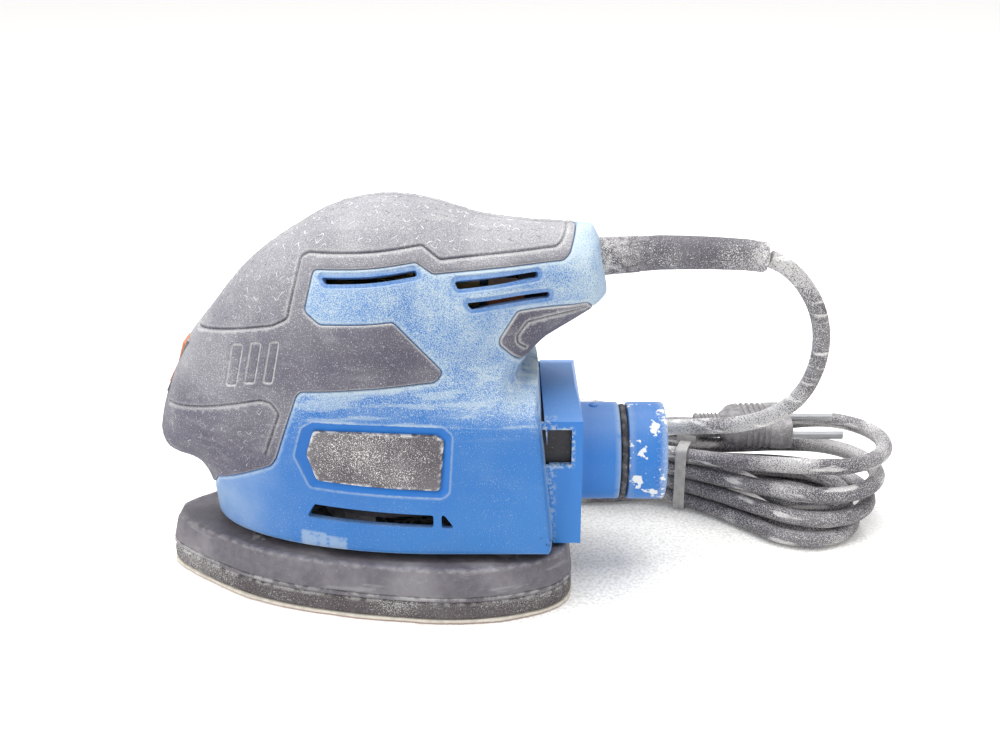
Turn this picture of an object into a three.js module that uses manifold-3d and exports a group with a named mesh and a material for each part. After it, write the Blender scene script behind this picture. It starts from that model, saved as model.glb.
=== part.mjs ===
// Palm-held detail ("mouse") sander: delta base, two-part body, motor, dust adapter and mains lead.
// Millimetres. X runs from the nose (-) to the tail (+), Y across, Z up.
// The origin lies on the abrasive's face, on the motor's axis.
import * as THREE from 'three';
import { mergeVertices } from 'three/addons/utils/BufferGeometryUtils.js';
import Module from 'manifold-3d';

const wasm = await Module();
wasm.setup();

// ---- driving dimensions ----
const GAP = 0.3;                 // between pieces that touch
const SKIRT_Z = 21.5;            // lower rim of the body
const BODY_TOP = 132;
const WALL = 3.2;                // body shell
const GRIP_THICK = 1.5;          // rubber overmould
const SEAM = 0.15;               // half the gap between the two shells
const SHEET_TOP = 1.2;
const PAD_TOP = 7.5;
const PLATE_TOP = 18.4;
const SOCKET_FLOOR = 10.8;        // floor of the post sockets in the base plate
const ORBIT = 1;                 // eccentric offset, half the stroke
const SHAFT_R = 3.9;
const FAN_R = 27;
const SPIGOT_Z = 41;             // dust spigot's axis
const SPIGOT_R = 17;
const SPIGOT_BORE = 14.5;
const FLANGE_BACK = 65;          // rear face of the adapter's flange
const COLLAR_START = 82;
const COLLAR_END = 95.2;
const FLANGE_HALF = 30;
const FLANGE_FOOT = 20;
const CORD_R = 3;
const CORD_EXIT_Z = 111;
const HANK_TOP = 24.6;
const HANK_CENTRE = [106, 54];   // where the tie is, in X and Y
const HANK_TURN = -20;           // degrees about Z
const HANK_FOLDS = [-36, 54];    // fold centres along the hank
const HANK_HALF = 27;            // outer half width at the folds
const HANK_WAIST = 16.3;         // outer half width at the tie

// ---- silhouette of the body on its centre plane: [x, z] ----
const CROWN = [
  [-61, 10], [-62.5, 30], [-64.6, 37], [-67.3, 40.6], [-73.3, 43.1], [-77.2, 46], [-79, 51],
  [-78.4, 56], [-76.2, 64], [-72.1, 75.8], [-66, 86], [-58.9, 94.7], [-52.5, 102.7], [-45.6, 110.1],
  [-37.5, 116.6], [-29.6, 121.7], [-20.5, 127], [-10.9, 130.5], [0, BODY_TOP], [10, 131.4],
  [20.6, 128.9], [30, 125.8], [37.5, 124.4], [48.9, 123.2], [60, 122.8], [68.5, 122.6],
];
const TAIL = [[68.5, 122.6], [70.9, 117.9], [73.8, 101.4], [73.9, 98.7]];
const UNDER = [[73.9, 98.7], [69.2, 95.3], [63.4, 91.6], [53.8, 85.8], [48, 80.5], [45.6, 76.4]];
const REAR = [[45.6, 76.4], [51, 75.2], [57.8, 10]];

// ---- outlines on the body's side: [x, z] ----
const GRIP_OUTLINE = [
  [-90, 29.8], [-63, 29.8], [-58.6, 38.1], [-37, 49.5], [-35, 52.5], [-27, 75], [-25.5, 76.6],
  [17.4, 79.3], [19.9, 82], [4.6, 99.2], [-18.8, 97.6], [-24.1, 101.1], [-21.3, 113.5],
  [11.6, 116.4], [17, 112.8], [58.4, 114.6], [60.4, 116.4], [64, 126], [64, 145], [-90, 145],
];
const FINGER_OUTLINE = [
  [38.2, 91], [43.8, 99.2], [66.6, 100], [69.5, 95], [52, 80], [45.2, 81.5], [38, 88.9],
];
const SIDE_PLATE = [
  [-21.8, 64.1], [18, 62.5], [20.2, 60.5], [18.6, 43.3], [-22, 45.4], [-24.8, 55],
];
const SIDE_RECESS = [
  [-21.8, 67.2], [20, 65.4], [22.8, 62.8], [21.6, 43], [19.2, 41.2], [-24, 43.2], [-28.4, 54.6], [-25.4, 65],
];
const VENTS = [
  [[-18.7, 111.5], [11.7, 114.2], [12.3, 112.4], [-17.3, 109.7]],
  [[23.5, 110.5], [50.4, 111.7], [50.5, 109.6], [24.8, 108.1]],
  [[27.3, 103.9], [54.1, 104.6], [54.1, 102.6], [29.2, 101.7]],
  [[-25.7, 32], [-22.8, 37.1], [16.4, 35.4], [16.4, 31]],
  [[19, 35.4], [20, 35.3], [23.4, 30.7], [19, 30.9]],
];
const SCREWS = [[-50, 28], [-46, 99], [-30, 114], [20, 119], [59.6, 104], [38, 72]];

// ---- materials ----
function paint(color, roughness, metalness = 0) {
  return new THREE.MeshStandardMaterial({ color, roughness, metalness });
}
const BLUE = paint(0x3f86cf, 0.45);
const RUBBER = paint(0x57525a, 0.8);
const DARK = paint(0x4a484c, 0.6);
const BLACK = paint(0x232226, 0.5);
const FOAM = paint(0x3c393c, 0.95);
const PAPER = paint(0xd9cdb4, 0.9);
const ORANGE = paint(0xe2702c, 0.45);
const STEEL = paint(0xb9bcc0, 0.35, 1);
const IRON = paint(0x6d6f73, 0.5, 1);
const COPPER = paint(0xb8703a, 0.35, 1);
const BRASS = paint(0xc9a655, 0.35, 1);
const CARBON = paint(0x2b2b2d, 0.8);
const SEAL = paint(0x1d1c1e, 0.85);

// ---- solids ----
function toSolid(geometry) {
  const bare = geometry.index ? geometry.toNonIndexed() : geometry.clone();
  bare.deleteAttribute('normal');
  bare.deleteAttribute('uv');
  const merged = mergeVertices(bare, 1e-4);
  return new wasm.Manifold(new wasm.Mesh({
    numProp: 3,
    vertProperties: new Float32Array(merged.attributes.position.array),
    triVerts: new Uint32Array(merged.index.array),
  }));
}

function toGeometry(solid) {
  const mesh = solid.getMesh();
  const geometry = new THREE.BufferGeometry();
  geometry.setAttribute('position', new THREE.BufferAttribute(new Float32Array(mesh.vertProperties), 3));
  geometry.setIndex(new THREE.BufferAttribute(new Uint32Array(mesh.triVerts), 1));
  geometry.computeVertexNormals();
  return geometry;
}

function box(x0, x1, y0, y1, z0, z1) {
  const geometry = new THREE.BoxGeometry(x1 - x0, y1 - y0, z1 - z0);
  return toSolid(geometry.translate((x0 + x1) / 2, (y0 + y1) / 2, (z0 + z1) / 2));
}

function shapeOf(points, holes = []) {
  const shape = new THREE.Shape(points.map(([a, b]) => new THREE.Vector2(a, b)));
  for (const hole of holes) shape.holes.push(new THREE.Path(hole.map(([a, b]) => new THREE.Vector2(a, b))));
  return shape;
}

function arcPoints(x, y, radius, count, from = 0, to = 360) {
  const full = to - from === 360;
  const steps = full ? count : count - 1;
  const points = [];
  for (let i = 0; i < count; i += 1) {
    const angle = THREE.MathUtils.degToRad(from + (to - from) * i / steps);
    points.push([x + radius * Math.cos(angle), y + radius * Math.sin(angle)]);
  }
  return points;
}

// an outline in X and Y, raised from z0 to z1
function slab(points, z0, z1, holes = []) {
  const geometry = new THREE.ExtrudeGeometry(shapeOf(points, holes), { depth: z1 - z0, bevelEnabled: false });
  return toSolid(geometry.translate(0, 0, z0));
}

// an outline in X and Z, carried across from y0 to y1
function across(points, y0 = -60, y1 = 60) {
  const geometry = new THREE.ExtrudeGeometry(shapeOf(points), { depth: y1 - y0, bevelEnabled: false });
  return toSolid(geometry.rotateX(Math.PI / 2).translate(0, y1, 0));
}

// an outline in Y and Z, carried along from x0 to x1
function along(points, x0, x1) {
  const geometry = new THREE.ExtrudeGeometry(shapeOf(points), { depth: x1 - x0, bevelEnabled: false });
  return toSolid(geometry.rotateZ(Math.PI / 2).rotateY(Math.PI / 2).translate(x0, 0, 0));
}

// a closed profile of [radius, height] turned about Z
function turned(profile, segments = 24) {
  const closed = [...profile, profile[0]].map(([r, z]) => new THREE.Vector2(r, z));
  return toSolid(new THREE.LatheGeometry(closed, segments).rotateX(Math.PI / 2));
}

function disc(radius, z0, z1, segments = 24) {
  return turned([[0, z0], [radius, z0], [radius, z1], [0, z1]], segments);
}

function ring(inner, outer, z0, z1, segments = 24) {
  return turned([[inner, z0], [outer, z0], [outer, z1], [inner, z1]], segments);
}

function joined(solids) {
  return solids.reduce((sum, solid) => sum.add(solid));
}

// ---- the body's surface: half width at a place on the side view, inset by t ----
function distanceTo(line, x, z) {
  let best = Infinity;
  for (let i = 1; i < line.length; i += 1) {
    const [ax, az] = line[i - 1];
    const ux = line[i][0] - ax;
    const uz = line[i][1] - az;
    const t = THREE.MathUtils.clamp(((x - ax) * ux + (z - az) * uz) / (ux * ux + uz * uz), 0, 1);
    best = Math.min(best, Math.hypot(x - ax - t * ux, z - az - t * uz));
  }
  return best;
}

function roundOff(distance, radius) {
  const t = THREE.MathUtils.clamp(distance / radius, 0, 1);
  return Math.sqrt(Math.max(0, 1 - (1 - t) ** 2));
}

const smooth = THREE.MathUtils.smoothstep;

function halfWidth(x, z, t = 0) {
  const upper = 37 - 4 * smooth(x, -5, 22) - 14.5 * smooth(x, 16, 60) - 1.5 * smooth(x, 55, 74);
  const lower = 41.2 - 0.05 * (z - 20);
  const low = 1 - smooth(z, 63, 86);
  const flat = upper * (1 - low) + lower * low - t;
  const skirt = 1 - smooth(z, 30, 75);
  const crownR = (60 - 16 * smooth(x, -45, 5) - 29 * smooth(x, 10, 50)) * (1 - skirt) + 80 * skirt;
  const edges = [[CROWN, crownR], [TAIL, 5], [UNDER, 9], [REAR, 2.5]];
  let width = flat;
  for (const [line, radius] of edges) {
    const inside = distanceTo(line, x, z) - t;
    if (inside <= 0) return 0;
    width *= roundOff(inside, Math.max(radius - t, 0.4));
  }
  return width;
}

const SILHOUETTE = [...CROWN, ...TAIL.slice(1), ...UNDER.slice(1), ...REAR.slice(1)];

function silhouetteSpan(z) {
  const hits = [];
  SILHOUETTE.forEach(([ax, az], i) => {
    const [bx, bz] = SILHOUETTE[(i + 1) % SILHOUETTE.length];
    if ((az > z) !== (bz > z)) hits.push(ax + (bx - ax) * (z - az) / (bz - az));
  });
  return [Math.min(...hits), Math.max(...hits)];
}

function insetSpan(z, t) {
  const [front, rear] = silhouetteSpan(z);
  if (t === 0) return [front, rear];
  const step = 0.2;
  let a = front;
  let b = rear;
  while (a < rear && halfWidth(a, z, t) <= 0) a += step;
  while (b > front && halfWidth(b, z, t) <= 0) b -= step;
  return [a, b];
}

// the whole body, inset by t on every side, as a loft of level slices
function bodySolid(t, levels, count) {
  const rings = levels.map((z) => {
    const [front, rear] = insetSpan(z, t);
    const near = [];
    const far = [];
    for (let i = 0; i <= count; i += 1) {
      const x = front + (rear - front) * (1 - Math.cos(Math.PI * i / count)) / 2;
      const y = i === 0 || i === count ? 0 : Math.max(halfWidth(x, z, t), 0.02);
      near.push([x, -y, z]);
      if (y > 0) far.unshift([x, y, z]);
    }
    return [...near, ...far];
  });
  const size = rings[0].length;
  const triangles = [];
  for (let k = 1; k < rings.length; k += 1) {
    for (let i = 0; i < size; i += 1) {
      const j = (i + 1) % size;
      const a = (k - 1) * size;
      const b = k * size;
      triangles.push(a + i, a + j, b + j, a + i, b + j, b + i);
    }
  }
  const top = (rings.length - 1) * size;
  for (let i = 0; i < count; i += 1) {
    const p = i;
    const q = i + 1;
    const r = (size - q) % size;
    const s = (size - p) % size;
    if (q !== r) triangles.push(p, r, q, top + p, top + q, top + r);
    if (p !== s) triangles.push(p, s, r, top + p, top + r, top + s);
  }
  return new wasm.Manifold(new wasm.Mesh({
    numProp: 3,
    vertProperties: new Float32Array(rings.flat(2)),
    triVerts: new Uint32Array(triangles),
  }));
}

const OUTER_LEVELS = [
  SKIRT_Z, 32, 40.4, 43.5, 47, 52, 62, 71, 75, 76.8, 81, 87, 93, 98.7, 105, 112, 117.5, 121.2, 123.1,
  125.6, 128.7, 131.4,
];
const INNER_LEVELS = [14, 40, 46, 52, 66, 73, 78, 90, 99, 110, 118, 122.5, 127];
const OUTER_COUNT = 10;
const INNER_COUNT = 8;

const inset = (levels, t) => levels.map((z) => (z > 60 ? z - t * (z - 60) / (BODY_TOP - 60) : z));

function bodyInset(t) {
  return bodySolid(t, inset(OUTER_LEVELS, t + 0.1), OUTER_COUNT);
}

const BODY = bodySolid(0, OUTER_LEVELS, OUTER_COUNT);
const GRIP_BACK = bodyInset(GRIP_THICK);
const UNDER_GRIP = bodyInset(GRIP_THICK + 0.5);
const CAVITY = bodySolid(WALL, INNER_LEVELS, INNER_COUNT);
const FAR = box(-120, 120, SEAM, 90, -5, 160);
const NEAR = box(-120, 120, -90, -SEAM, -5, 160);

// ---- assembly ----
const sander = new THREE.Group();

function add(name, solid, material, parent = sander) {
  const geometry = solid.isBufferGeometry ? solid : toGeometry(solid);
  const mesh = new THREE.Mesh(geometry, material);
  mesh.name = name;
  parent.add(mesh);
  return mesh;
}

// ---- screws and their bosses ----
const BOSS_R = 3.8;
const SCREW_R = 1.5;
const SCREW_HEAD_R = 3.1;
const SCREW_HEAD = 2.2;

function headPlane(x, z) {
  return Math.max(halfWidth(x, z) - 3.5, 6);
}

function crossPeg(radius, x, z, y0, y1, segments = 10) {
  const peg = new THREE.CylinderGeometry(radius, radius, y1 - y0, segments);
  return toSolid(peg.translate(x, (y0 + y1) / 2, z));
}

function housingScrew(x, z) {
  const head = headPlane(x, z);
  const shank = crossPeg(SCREW_R, x, z, -9, head - 1);
  return shank.add(crossPeg(SCREW_HEAD_R, x, z, head - SCREW_HEAD, head));
}

// ---- body shells ----
function ribs() {
  const bearer = UNDER_GRIP.intersect(box(-120, 45, -90, 90, 42.3, 44.8)).subtract(disc(30, 40, 46, 20));
  const seats = [[60, 62], [80, 82]].map(([z0, z1]) => (
    UNDER_GRIP.intersect(box(-28.6, 28.6, -90, 90, z0, z1)).subtract(box(-40, 40, -24.4, 24.4, z0 - 1, z1 + 1))
  ));
  const collar = ring(10.7, 13, 109, 112, 16);
  const arms = UNDER_GRIP.intersect(box(-3, 3, -90, 90, 109, 112)).subtract(disc(11.5, 108, 113, 16));
  return joined([bearer, ...seats, collar, arms]);
}

const SWITCH_AT = [-69.9, 74.9];
const SWITCH_LEAN = 25;          // degrees between the switch's length and the vertical

function inSwitchFrame(solid) {
  const turn = new THREE.Matrix4().makeRotationY(THREE.MathUtils.degToRad(SWITCH_LEAN - 90));
  const place = new THREE.Matrix4().makeTranslation(SWITCH_AT[0], 0, SWITCH_AT[1]);
  const geometry = toGeometry(solid).applyMatrix4(place.multiply(turn));
  return toSolid(geometry);
}

function shellCuts() {
  const cuts = VENTS.map((vent) => across(vent));
  cuts.push(inSwitchFrame(box(-10.3, 10.3, -8.3, 8.3, -1.5, 12)));
  cuts.push(inSwitchFrame(box(-9.8, 9.8, -6.4, 6.4, -26, 0)));
  cuts.push(box(44, 70, -27.3, 27.3, 24.2, 66.3));
  for (const [radius, x0, x1] of [[6.7, 66, 80], [7.7, 62, 66.9]]) {
    const bore = new THREE.CylinderGeometry(radius, radius, x1 - x0, 16).rotateZ(Math.PI / 2);
    cuts.push(toSolid(bore.translate((x0 + x1) / 2, 0, CORD_EXIT_Z)));
  }
  return joined(cuts);
}

function buildHousing() {
  const plates = across(SIDE_RECESS).subtract(bodyInset(2.2));
  const pockets = across(GRIP_OUTLINE).add(across(FINGER_OUTLINE)).subtract(UNDER_GRIP);
  let shell = BODY.subtract(CAVITY).add(ribs().intersect(BODY));
  const bosses = SCREWS.map(([x, z]) => crossPeg(BOSS_R, x, z, -60, 60).intersect(UNDER_GRIP));
  shell = shell.add(joined(bosses)).subtract(plates).subtract(pockets).subtract(shellCuts());
  for (const [x, z] of SCREWS) {
    const head = headPlane(x, z);
    shell = shell.subtract(crossPeg(SCREW_R + GAP, x, z, -10, 60));
    shell = shell.subtract(crossPeg(SCREW_HEAD_R + GAP, x, z, head - SCREW_HEAD - GAP, 60));
  }
  add('housing_left', shell.intersect(NEAR), BLUE);
  add('housing_right', shell.intersect(FAR), BLUE);
  SCREWS.forEach(([x, z], i) => add(`housing_screw_${i + 1}`, housingScrew(x, z), STEEL));
}

function shrunk(points, by) {
  const count = points.length;
  return points.map(([x, z], i) => {
    const [px, pz] = points[(i + count - 1) % count];
    const [nx, nz] = points[(i + 1) % count];
    const a = new THREE.Vector2(x - px, z - pz).normalize();
    const b = new THREE.Vector2(nx - x, nz - z).normalize();
    const normal = new THREE.Vector2(-(a.y + b.y), a.x + b.x).normalize();
    const stretch = Math.max(normal.x * -a.y + normal.y * a.x, 0.5);
    const side = THREE.ShapeUtils.isClockWise(points.map(([u, v]) => new THREE.Vector2(u, v))) ? -1 : 1;
    return [x + side * normal.x * by / stretch, z + side * normal.y * by / stretch];
  });
}

function buildSoftCovers() {
  const skin = BODY.subtract(GRIP_BACK);
  const front = inSwitchFrame(box(-10.3, 10.3, -8.3, 8.3, -8, 12));
  const holes = joined(SCREWS.map(([x, z]) => crossPeg(SCREW_HEAD_R + GAP, x, z, 2, 60)));
  const grip = skin.intersect(across(shrunk(GRIP_OUTLINE, GAP))).subtract(front).subtract(holes);
  const finger = skin.intersect(across(shrunk(FINGER_OUTLINE, GAP)));
  const plate = bodyInset(0.9).subtract(bodyInset(1.9))
    .intersect(across(shrunk(SIDE_PLATE, GAP)));
  for (const [side, half] of [['left', NEAR], ['right', FAR]]) {
    add(`grip_${side}`, grip.intersect(half), RUBBER);
    add(`finger_pad_${side}`, finger.intersect(half), RUBBER);
    add(`side_plate_${side}`, plate.intersect(half), DARK);
  }
}

// ---- switch at the nose ----
function buildSwitch() {
  const bezel = box(-10, 10, -8, 8, -1.2, 1.2).subtract(box(-8.8, 8.8, -5.7, 5.7, -3, 3));
  const body = box(-9.5, 9.5, -6, 6, -17, -1.5).subtract(box(-8.2, 8.2, -5.4, 5.4, -9, 0));
  const rocker = across([
    [-7.6, -0.4], [-7.6, 1.9], [0, 1.5], [7.6, 2.6], [7.6, -0.4], [2.4, -5], [-2.4, -5],
  ], -5.1, 5.1);
  add('switch_bezel', inSwitchFrame(bezel), BLACK);
  add('switch_body', inSwitchFrame(body), BLACK);
  add('switch_rocker', inSwitchFrame(rocker), ORANGE);
}

// ---- motor ----
const CORE_Z = [56, 86];
const STATOR_BORE = 16.3;

function sector(inner, outer, from, to, z0, z1, count) {
  const outline = [...arcPoints(0, 0, outer, count, from, to), ...arcPoints(0, 0, inner, count, to, from)];
  return slab(outline, z0, z1);
}

function fieldCoil(turn) {
  const ends = [[50.6, 55.6], [86.4, 91.4]].map(([z0, z1]) => (
    sector(16.9, 21, turn - 77, turn + 77, z0, z1, 12)
  ));
  const sides = [-77, 63].map((from) => sector(16.9, 21, turn + from, turn + from + 14, 51, 91, 3));
  return joined([...ends, ...sides]);
}

function buildStator() {
  const outline = [
    [28, -17], [28, 17], [22, 23.8], [-22, 23.8], [-28, 17], [-28, -17], [-22, -23.8], [22, -23.8],
  ];
  let core = slab(outline, ...CORE_Z).subtract(disc(STATOR_BORE, 50, 90, 24));
  for (const turn of [0, 180]) {
    for (const from of [-79, 61]) {
      core = core.subtract(sector(16, 21.4, turn + from, turn + from + 18, 50, 90, 3));
    }
  }
  add('field_core', core, IRON);
  add('field_coil_rear', fieldCoil(0), COPPER);
  add('field_coil_front', fieldCoil(180), COPPER);
}

const SLOTS = 8;

function buildArmature() {
  const slotCut = [];
  const bars = [];
  for (let i = 0; i < SLOTS; i += 1) {
    const mid = 360 / SLOTS * i;
    slotCut.push(sector(9.4, 17, mid - 9, mid + 9, 50, 90, 2));
    bars.push(sector(9.8, 14.6, mid - 6.5, mid + 6.5, 52, 90, 2));
  }
  const core = ring(SHAFT_R + GAP, 15.4, ...CORE_Z, 32).subtract(joined(slotCut));
  const heads = [[50, 55.7], [86.3, 91.5]].map(([z0, z1]) => ring(SHAFT_R + GAP, 13.4, z0, z1, 16));
  add('armature_core', core, IRON);
  add('armature_winding', joined([...heads, ...bars]), COPPER);
  add('commutator', ring(SHAFT_R + GAP, 9, 94, 106), BRASS);
  const profile = [[0, 21], [SHAFT_R, 21], [SHAFT_R, 107], [2.9, 107], [2.9, 116], [0, 116]];
  add('motor_shaft', turned(profile, 16), STEEL);
}

function buildBearings() {
  add('lower_bearing', ring(SHAFT_R + GAP, 9.5, 41.3, 47.3), STEEL);
  add('upper_bearing', ring(2.9 + GAP, 8, 109, 114, 16), STEEL);
  const cup = [[8.3, 108], [10.4, 108], [10.4, 118.5], [0, 118.5], [0, 116.6], [8.3, 116.6]];
  add('bearing_cup', turned(cup, 16), RUBBER);
  const plate = [
    [5.5, 38.5], [33, 38.5], [33, 41], [12, 41], [12, 48], [9.8, 48], [9.8, 41], [5.5, 41],
  ];
  add('motor_plate', turned(plate, 24), BLACK);
}

function brushSpring() {
  const turns = 3.5;
  const points = [];
  for (let i = 0; i <= 28; i += 1) {
    const angle = 2 * Math.PI * turns * i / 28;
    points.push(new THREE.Vector3(19.9 + 8.6 * i / 28, 1.9 * Math.cos(angle), 100 + 1.9 * Math.sin(angle)));
  }
  const wire = new THREE.Shape(arcPoints(0, 0, 0.4, 4).map(([a, b]) => new THREE.Vector2(a, b)));
  const path = new THREE.CatmullRomCurve3(points);
  return new THREE.ExtrudeGeometry(wire, { steps: 26, extrudePath: path, bevelEnabled: false });
}

function buildBrushes() {
  const holder = box(10.6, 31, -4.2, 4.2, 95.3, 104.7).subtract(box(8, 29.4, -2.9, 2.9, 96.4, 103.6));
  const brush = box(9.3, 19, -2.5, 2.5, 96.8, 103.2);
  for (const [side, turn] of [['rear', 0], ['front', Math.PI]]) {
    const arm = new THREE.Group();
    arm.rotation.z = turn;
    sander.add(arm);
    add(`brush_holder_${side}`, holder, BRASS, arm);
    add(`carbon_brush_${side}`, brush, CARBON, arm);
    add(`brush_spring_${side}`, brushSpring(), STEEL, arm);
  }
}

// ---- drive to the base ----
function buildDrive() {
  const blades = [];
  for (let i = 0; i < 8; i += 1) {
    const blade = new THREE.BoxGeometry(15, 1.4, 6.6);
    blade.translate(17.5, 0, 32.7).rotateZ(2 * Math.PI * i / 8);
    blades.push(toSolid(blade));
  }
  const hub = ring(SHAFT_R + GAP, 7, 28, 37, 16);
  add('cooling_fan', joined([ring(6, FAN_R, 28, 29.8, 20), hub, ...blades]), DARK);
  add('counterweight', sector(9.6, 24, 100, 260, 21.6, 27.6, 12), IRON);
  const hubSolid = disc(9.2, 19.4, 27.6, 20).subtract(disc(SHAFT_R + GAP, 20.8, 30, 16));
  const pin = new THREE.CylinderGeometry(3.7, 3.7, 8.2, 16).rotateX(Math.PI / 2).translate(ORBIT, 0, 15.6);
  const tapped = new THREE.CylinderGeometry(2, 2, 6, 12).rotateX(Math.PI / 2).translate(ORBIT, 0, 13.5);
  add('eccentric', hubSolid.add(toSolid(pin)).subtract(toSolid(tapped)), STEEL);
  const screw = disc(4.6, 8.3, 11.1, 12).add(disc(1.6, 10, 16, 12));
  add('bearing_screw', screw, STEEL).position.x = ORBIT;
  add('plate_bearing', ring(4, 11, 11.6, 18.2), STEEL).position.x = ORBIT;
}

// ---- sanding base ----
const SOLE = [
  [-78.5, 5], [-75.3, 9.8], [-71, 14], [-64, 20.2], [-56, 26.4], [-48, 31.8], [-38, 36.9], [-26, 41.2],
  [-12, 44.8], [4, 47.6], [20, 49.3], [34, 48.2], [46, 45], [54.5, 41], [59.5, 36.2], [62.3, 30.5], [63, 24],
];
const POSTS = [[-38, -14], [-38, 14], [36, -24], [36, 24]];
const POST_R = 5.5;

// the delta outline, moved inwards by t
function soleOutline(t) {
  const near = SOLE.map(([x, y]) => [x, -y]);
  const far = [...SOLE].reverse();
  return shrunk([...near, ...far], t);
}

function dustHoles() {
  const rows = [[-52, 0], [-20, 20], [22, 26], [46, 0]];
  const places = rows.flatMap(([x, y]) => (y === 0 ? [[x, 0]] : [[x, -y], [x, y]]));
  return places.map(([x, y]) => arcPoints(x, y, 4, 8).reverse());
}

function tapered(bottom, top, z0, z1) {
  const size = bottom.length;
  const contour = bottom.map(([x, y]) => new THREE.Vector2(x, y));
  const positions = [...bottom.map(([x, y]) => [x, y, z0]), ...top.map(([x, y]) => [x, y, z1])];
  const triangles = [];
  for (let i = 0; i < size; i += 1) {
    const j = (i + 1) % size;
    triangles.push(i, j, size + j, i, size + j, size + i);
  }
  for (const [a, b, c] of THREE.ShapeUtils.triangulateShape(contour, [])) {
    const upward = THREE.ShapeUtils.area([contour[a], contour[b], contour[c]]) > 0;
    const [p, q] = upward ? [b, c] : [c, b];
    triangles.push(a, q, p, size + a, size + p, size + q);
  }
  return new wasm.Manifold(new wasm.Mesh({
    numProp: 3,
    vertProperties: new Float32Array(positions.flat()),
    triVerts: new Uint32Array(triangles),
  }));
}

function buildBase() {
  add('abrasive_sheet', slab(soleOutline(0), 0, SHEET_TOP, dustHoles()), PAPER);
  add('sanding_pad', slab(soleOutline(0.7), SHEET_TOP + GAP, PAD_TOP, dustHoles()), FOAM);
  let plate = tapered(soleOutline(0.5), soleOutline(3), PAD_TOP + GAP, PLATE_TOP);
  for (const [x, y] of POSTS) plate = plate.subtract(disc(8.3, SOCKET_FLOOR, 20, 16).translate([x, y, 0]));
  plate = plate.subtract(disc(11.3, SOCKET_FLOOR + 0.5, 20, 24).translate([ORBIT, 0, 0]));
  plate = plate.subtract(disc(5.2, 5, 20, 16).translate([ORBIT, 0, 0]));
  for (const hole of dustHoles()) plate = plate.subtract(slab([...hole].reverse(), 5, 20));
  add('base_plate', plate, DARK);
  POSTS.forEach(([x, y], i) => {
    const profile = [[0, 11.5], [5.6, 11.5], [5.6, 15], [4.4, 19], [4.4, 33], [POST_R, 37], [POST_R, 42], [0, 42]];
    add(`flex_post_${i + 1}`, turned(profile, 12), RUBBER).position.set(x, y, 0);
  });
}

// ---- dust extraction ----
function lyingDisc(radius, x0, x1, segments = 24) {
  const peg = new THREE.CylinderGeometry(radius, radius, x1 - x0, segments).rotateZ(Math.PI / 2);
  return toSolid(peg.translate((x0 + x1) / 2, 0, SPIGOT_Z));
}

function buildDustPath() {
  // both are boxes with their upper corners cut to follow the flange
  const ductSection = (half, foot, shoulder, flat, top) => [
    [-half, foot], [half, foot], [half, shoulder], [flat, top], [-flat, top], [-half, shoulder]];
  const duct = along(ductSection(27, 24.5, 62.3, 12, 66.3), 46, 61.5)
    .subtract(along(ductSection(24.8, 26.7, 60.8, 11.4, 64.1), 44, 70));
  add('dust_duct', duct, BLACK);

  const side = [[51.9, 69.5], [63.2, 69.5], [FLANGE_BACK, 64.5], [FLANGE_BACK, FLANGE_FOOT], [57.2, FLANGE_FOOT]];
  const face = [
    [-FLANGE_HALF, FLANGE_FOOT], [FLANGE_HALF, FLANGE_FOOT], [FLANGE_HALF, 64],
    [11, 69.5], [-11, 69.5], [-FLANGE_HALF, 64],
  ];
  let adapter = across(side, -31, 31).intersect(along(face, 48, 70));
  adapter = adapter.subtract(along(ductSection(27.3, 24.2, 62.5, 12.1, 66.6), 48, 62.3));
  adapter = adapter.subtract(across([[53.4, 48.5], [61.5, 48.5], [61.5, 61.1], [53.4, 61.1]], -40, 40));
  adapter = adapter.add(lyingDisc(SPIGOT_R, 64, 79.2)).subtract(lyingDisc(SPIGOT_BORE, 60, 90));
  add('dust_adapter', adapter, BLUE);

  const seal = lyingDisc(16.2, 79.5, 81.7).subtract(lyingDisc(SPIGOT_BORE, 70, 90));
  add('seal_ring', seal, SEAL);
  const collar = lyingDisc(SPIGOT_R, COLLAR_START, COLLAR_END).add(lyingDisc(SPIGOT_BORE - GAP, 70, 84));
  add('hose_collar', collar.subtract(lyingDisc(12.3, 60, 100)), BLUE);
}

// ---- mains lead ----
function tube(points, radius, steps, sides = 8) {
  const stops = points.map(([x, y, z]) => new THREE.Vector3(x, y, z));
  const path = new THREE.CatmullRomCurve3(stops, false, 'centripetal');
  const section = new THREE.Shape(arcPoints(0, 0, radius, sides).map(([a, b]) => new THREE.Vector2(a, b)));
  return new THREE.ExtrudeGeometry(section, { steps, extrudePath: path, bevelEnabled: false });
}

// rings of a growing or shrinking radius along a bent centre line in the XZ plane
function bentCone(stations, sides = 14) {
  const positions = [];
  const triangles = [];
  stations.forEach(([x, z, radius], k) => {
    const [ax, az] = stations[Math.max(k - 1, 0)];
    const [bx, bz] = stations[Math.min(k + 1, stations.length - 1)];
    const length = Math.hypot(bx - ax, bz - az);
    for (const [u, v] of arcPoints(0, 0, radius, sides)) {
      positions.push(x - v * (bz - az) / length, u, z + v * (bx - ax) / length);
    }
    for (let i = 0; k > 0 && i < sides; i += 1) {
      const j = (i + 1) % sides;
      const a = (k - 1) * sides;
      const b = k * sides;
      triangles.push(a + i, a + j, b + j, a + i, b + j, b + i);
    }
  });
  const last = (stations.length - 1) * sides;
  for (let i = 1; i < sides - 1; i += 1) triangles.push(0, i + 1, i, last, last + i, last + i + 1);
  return new wasm.Manifold(new wasm.Mesh({
    numProp: 3, vertProperties: new Float32Array(positions), triVerts: new Uint32Array(triangles),
  }));
}

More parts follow.
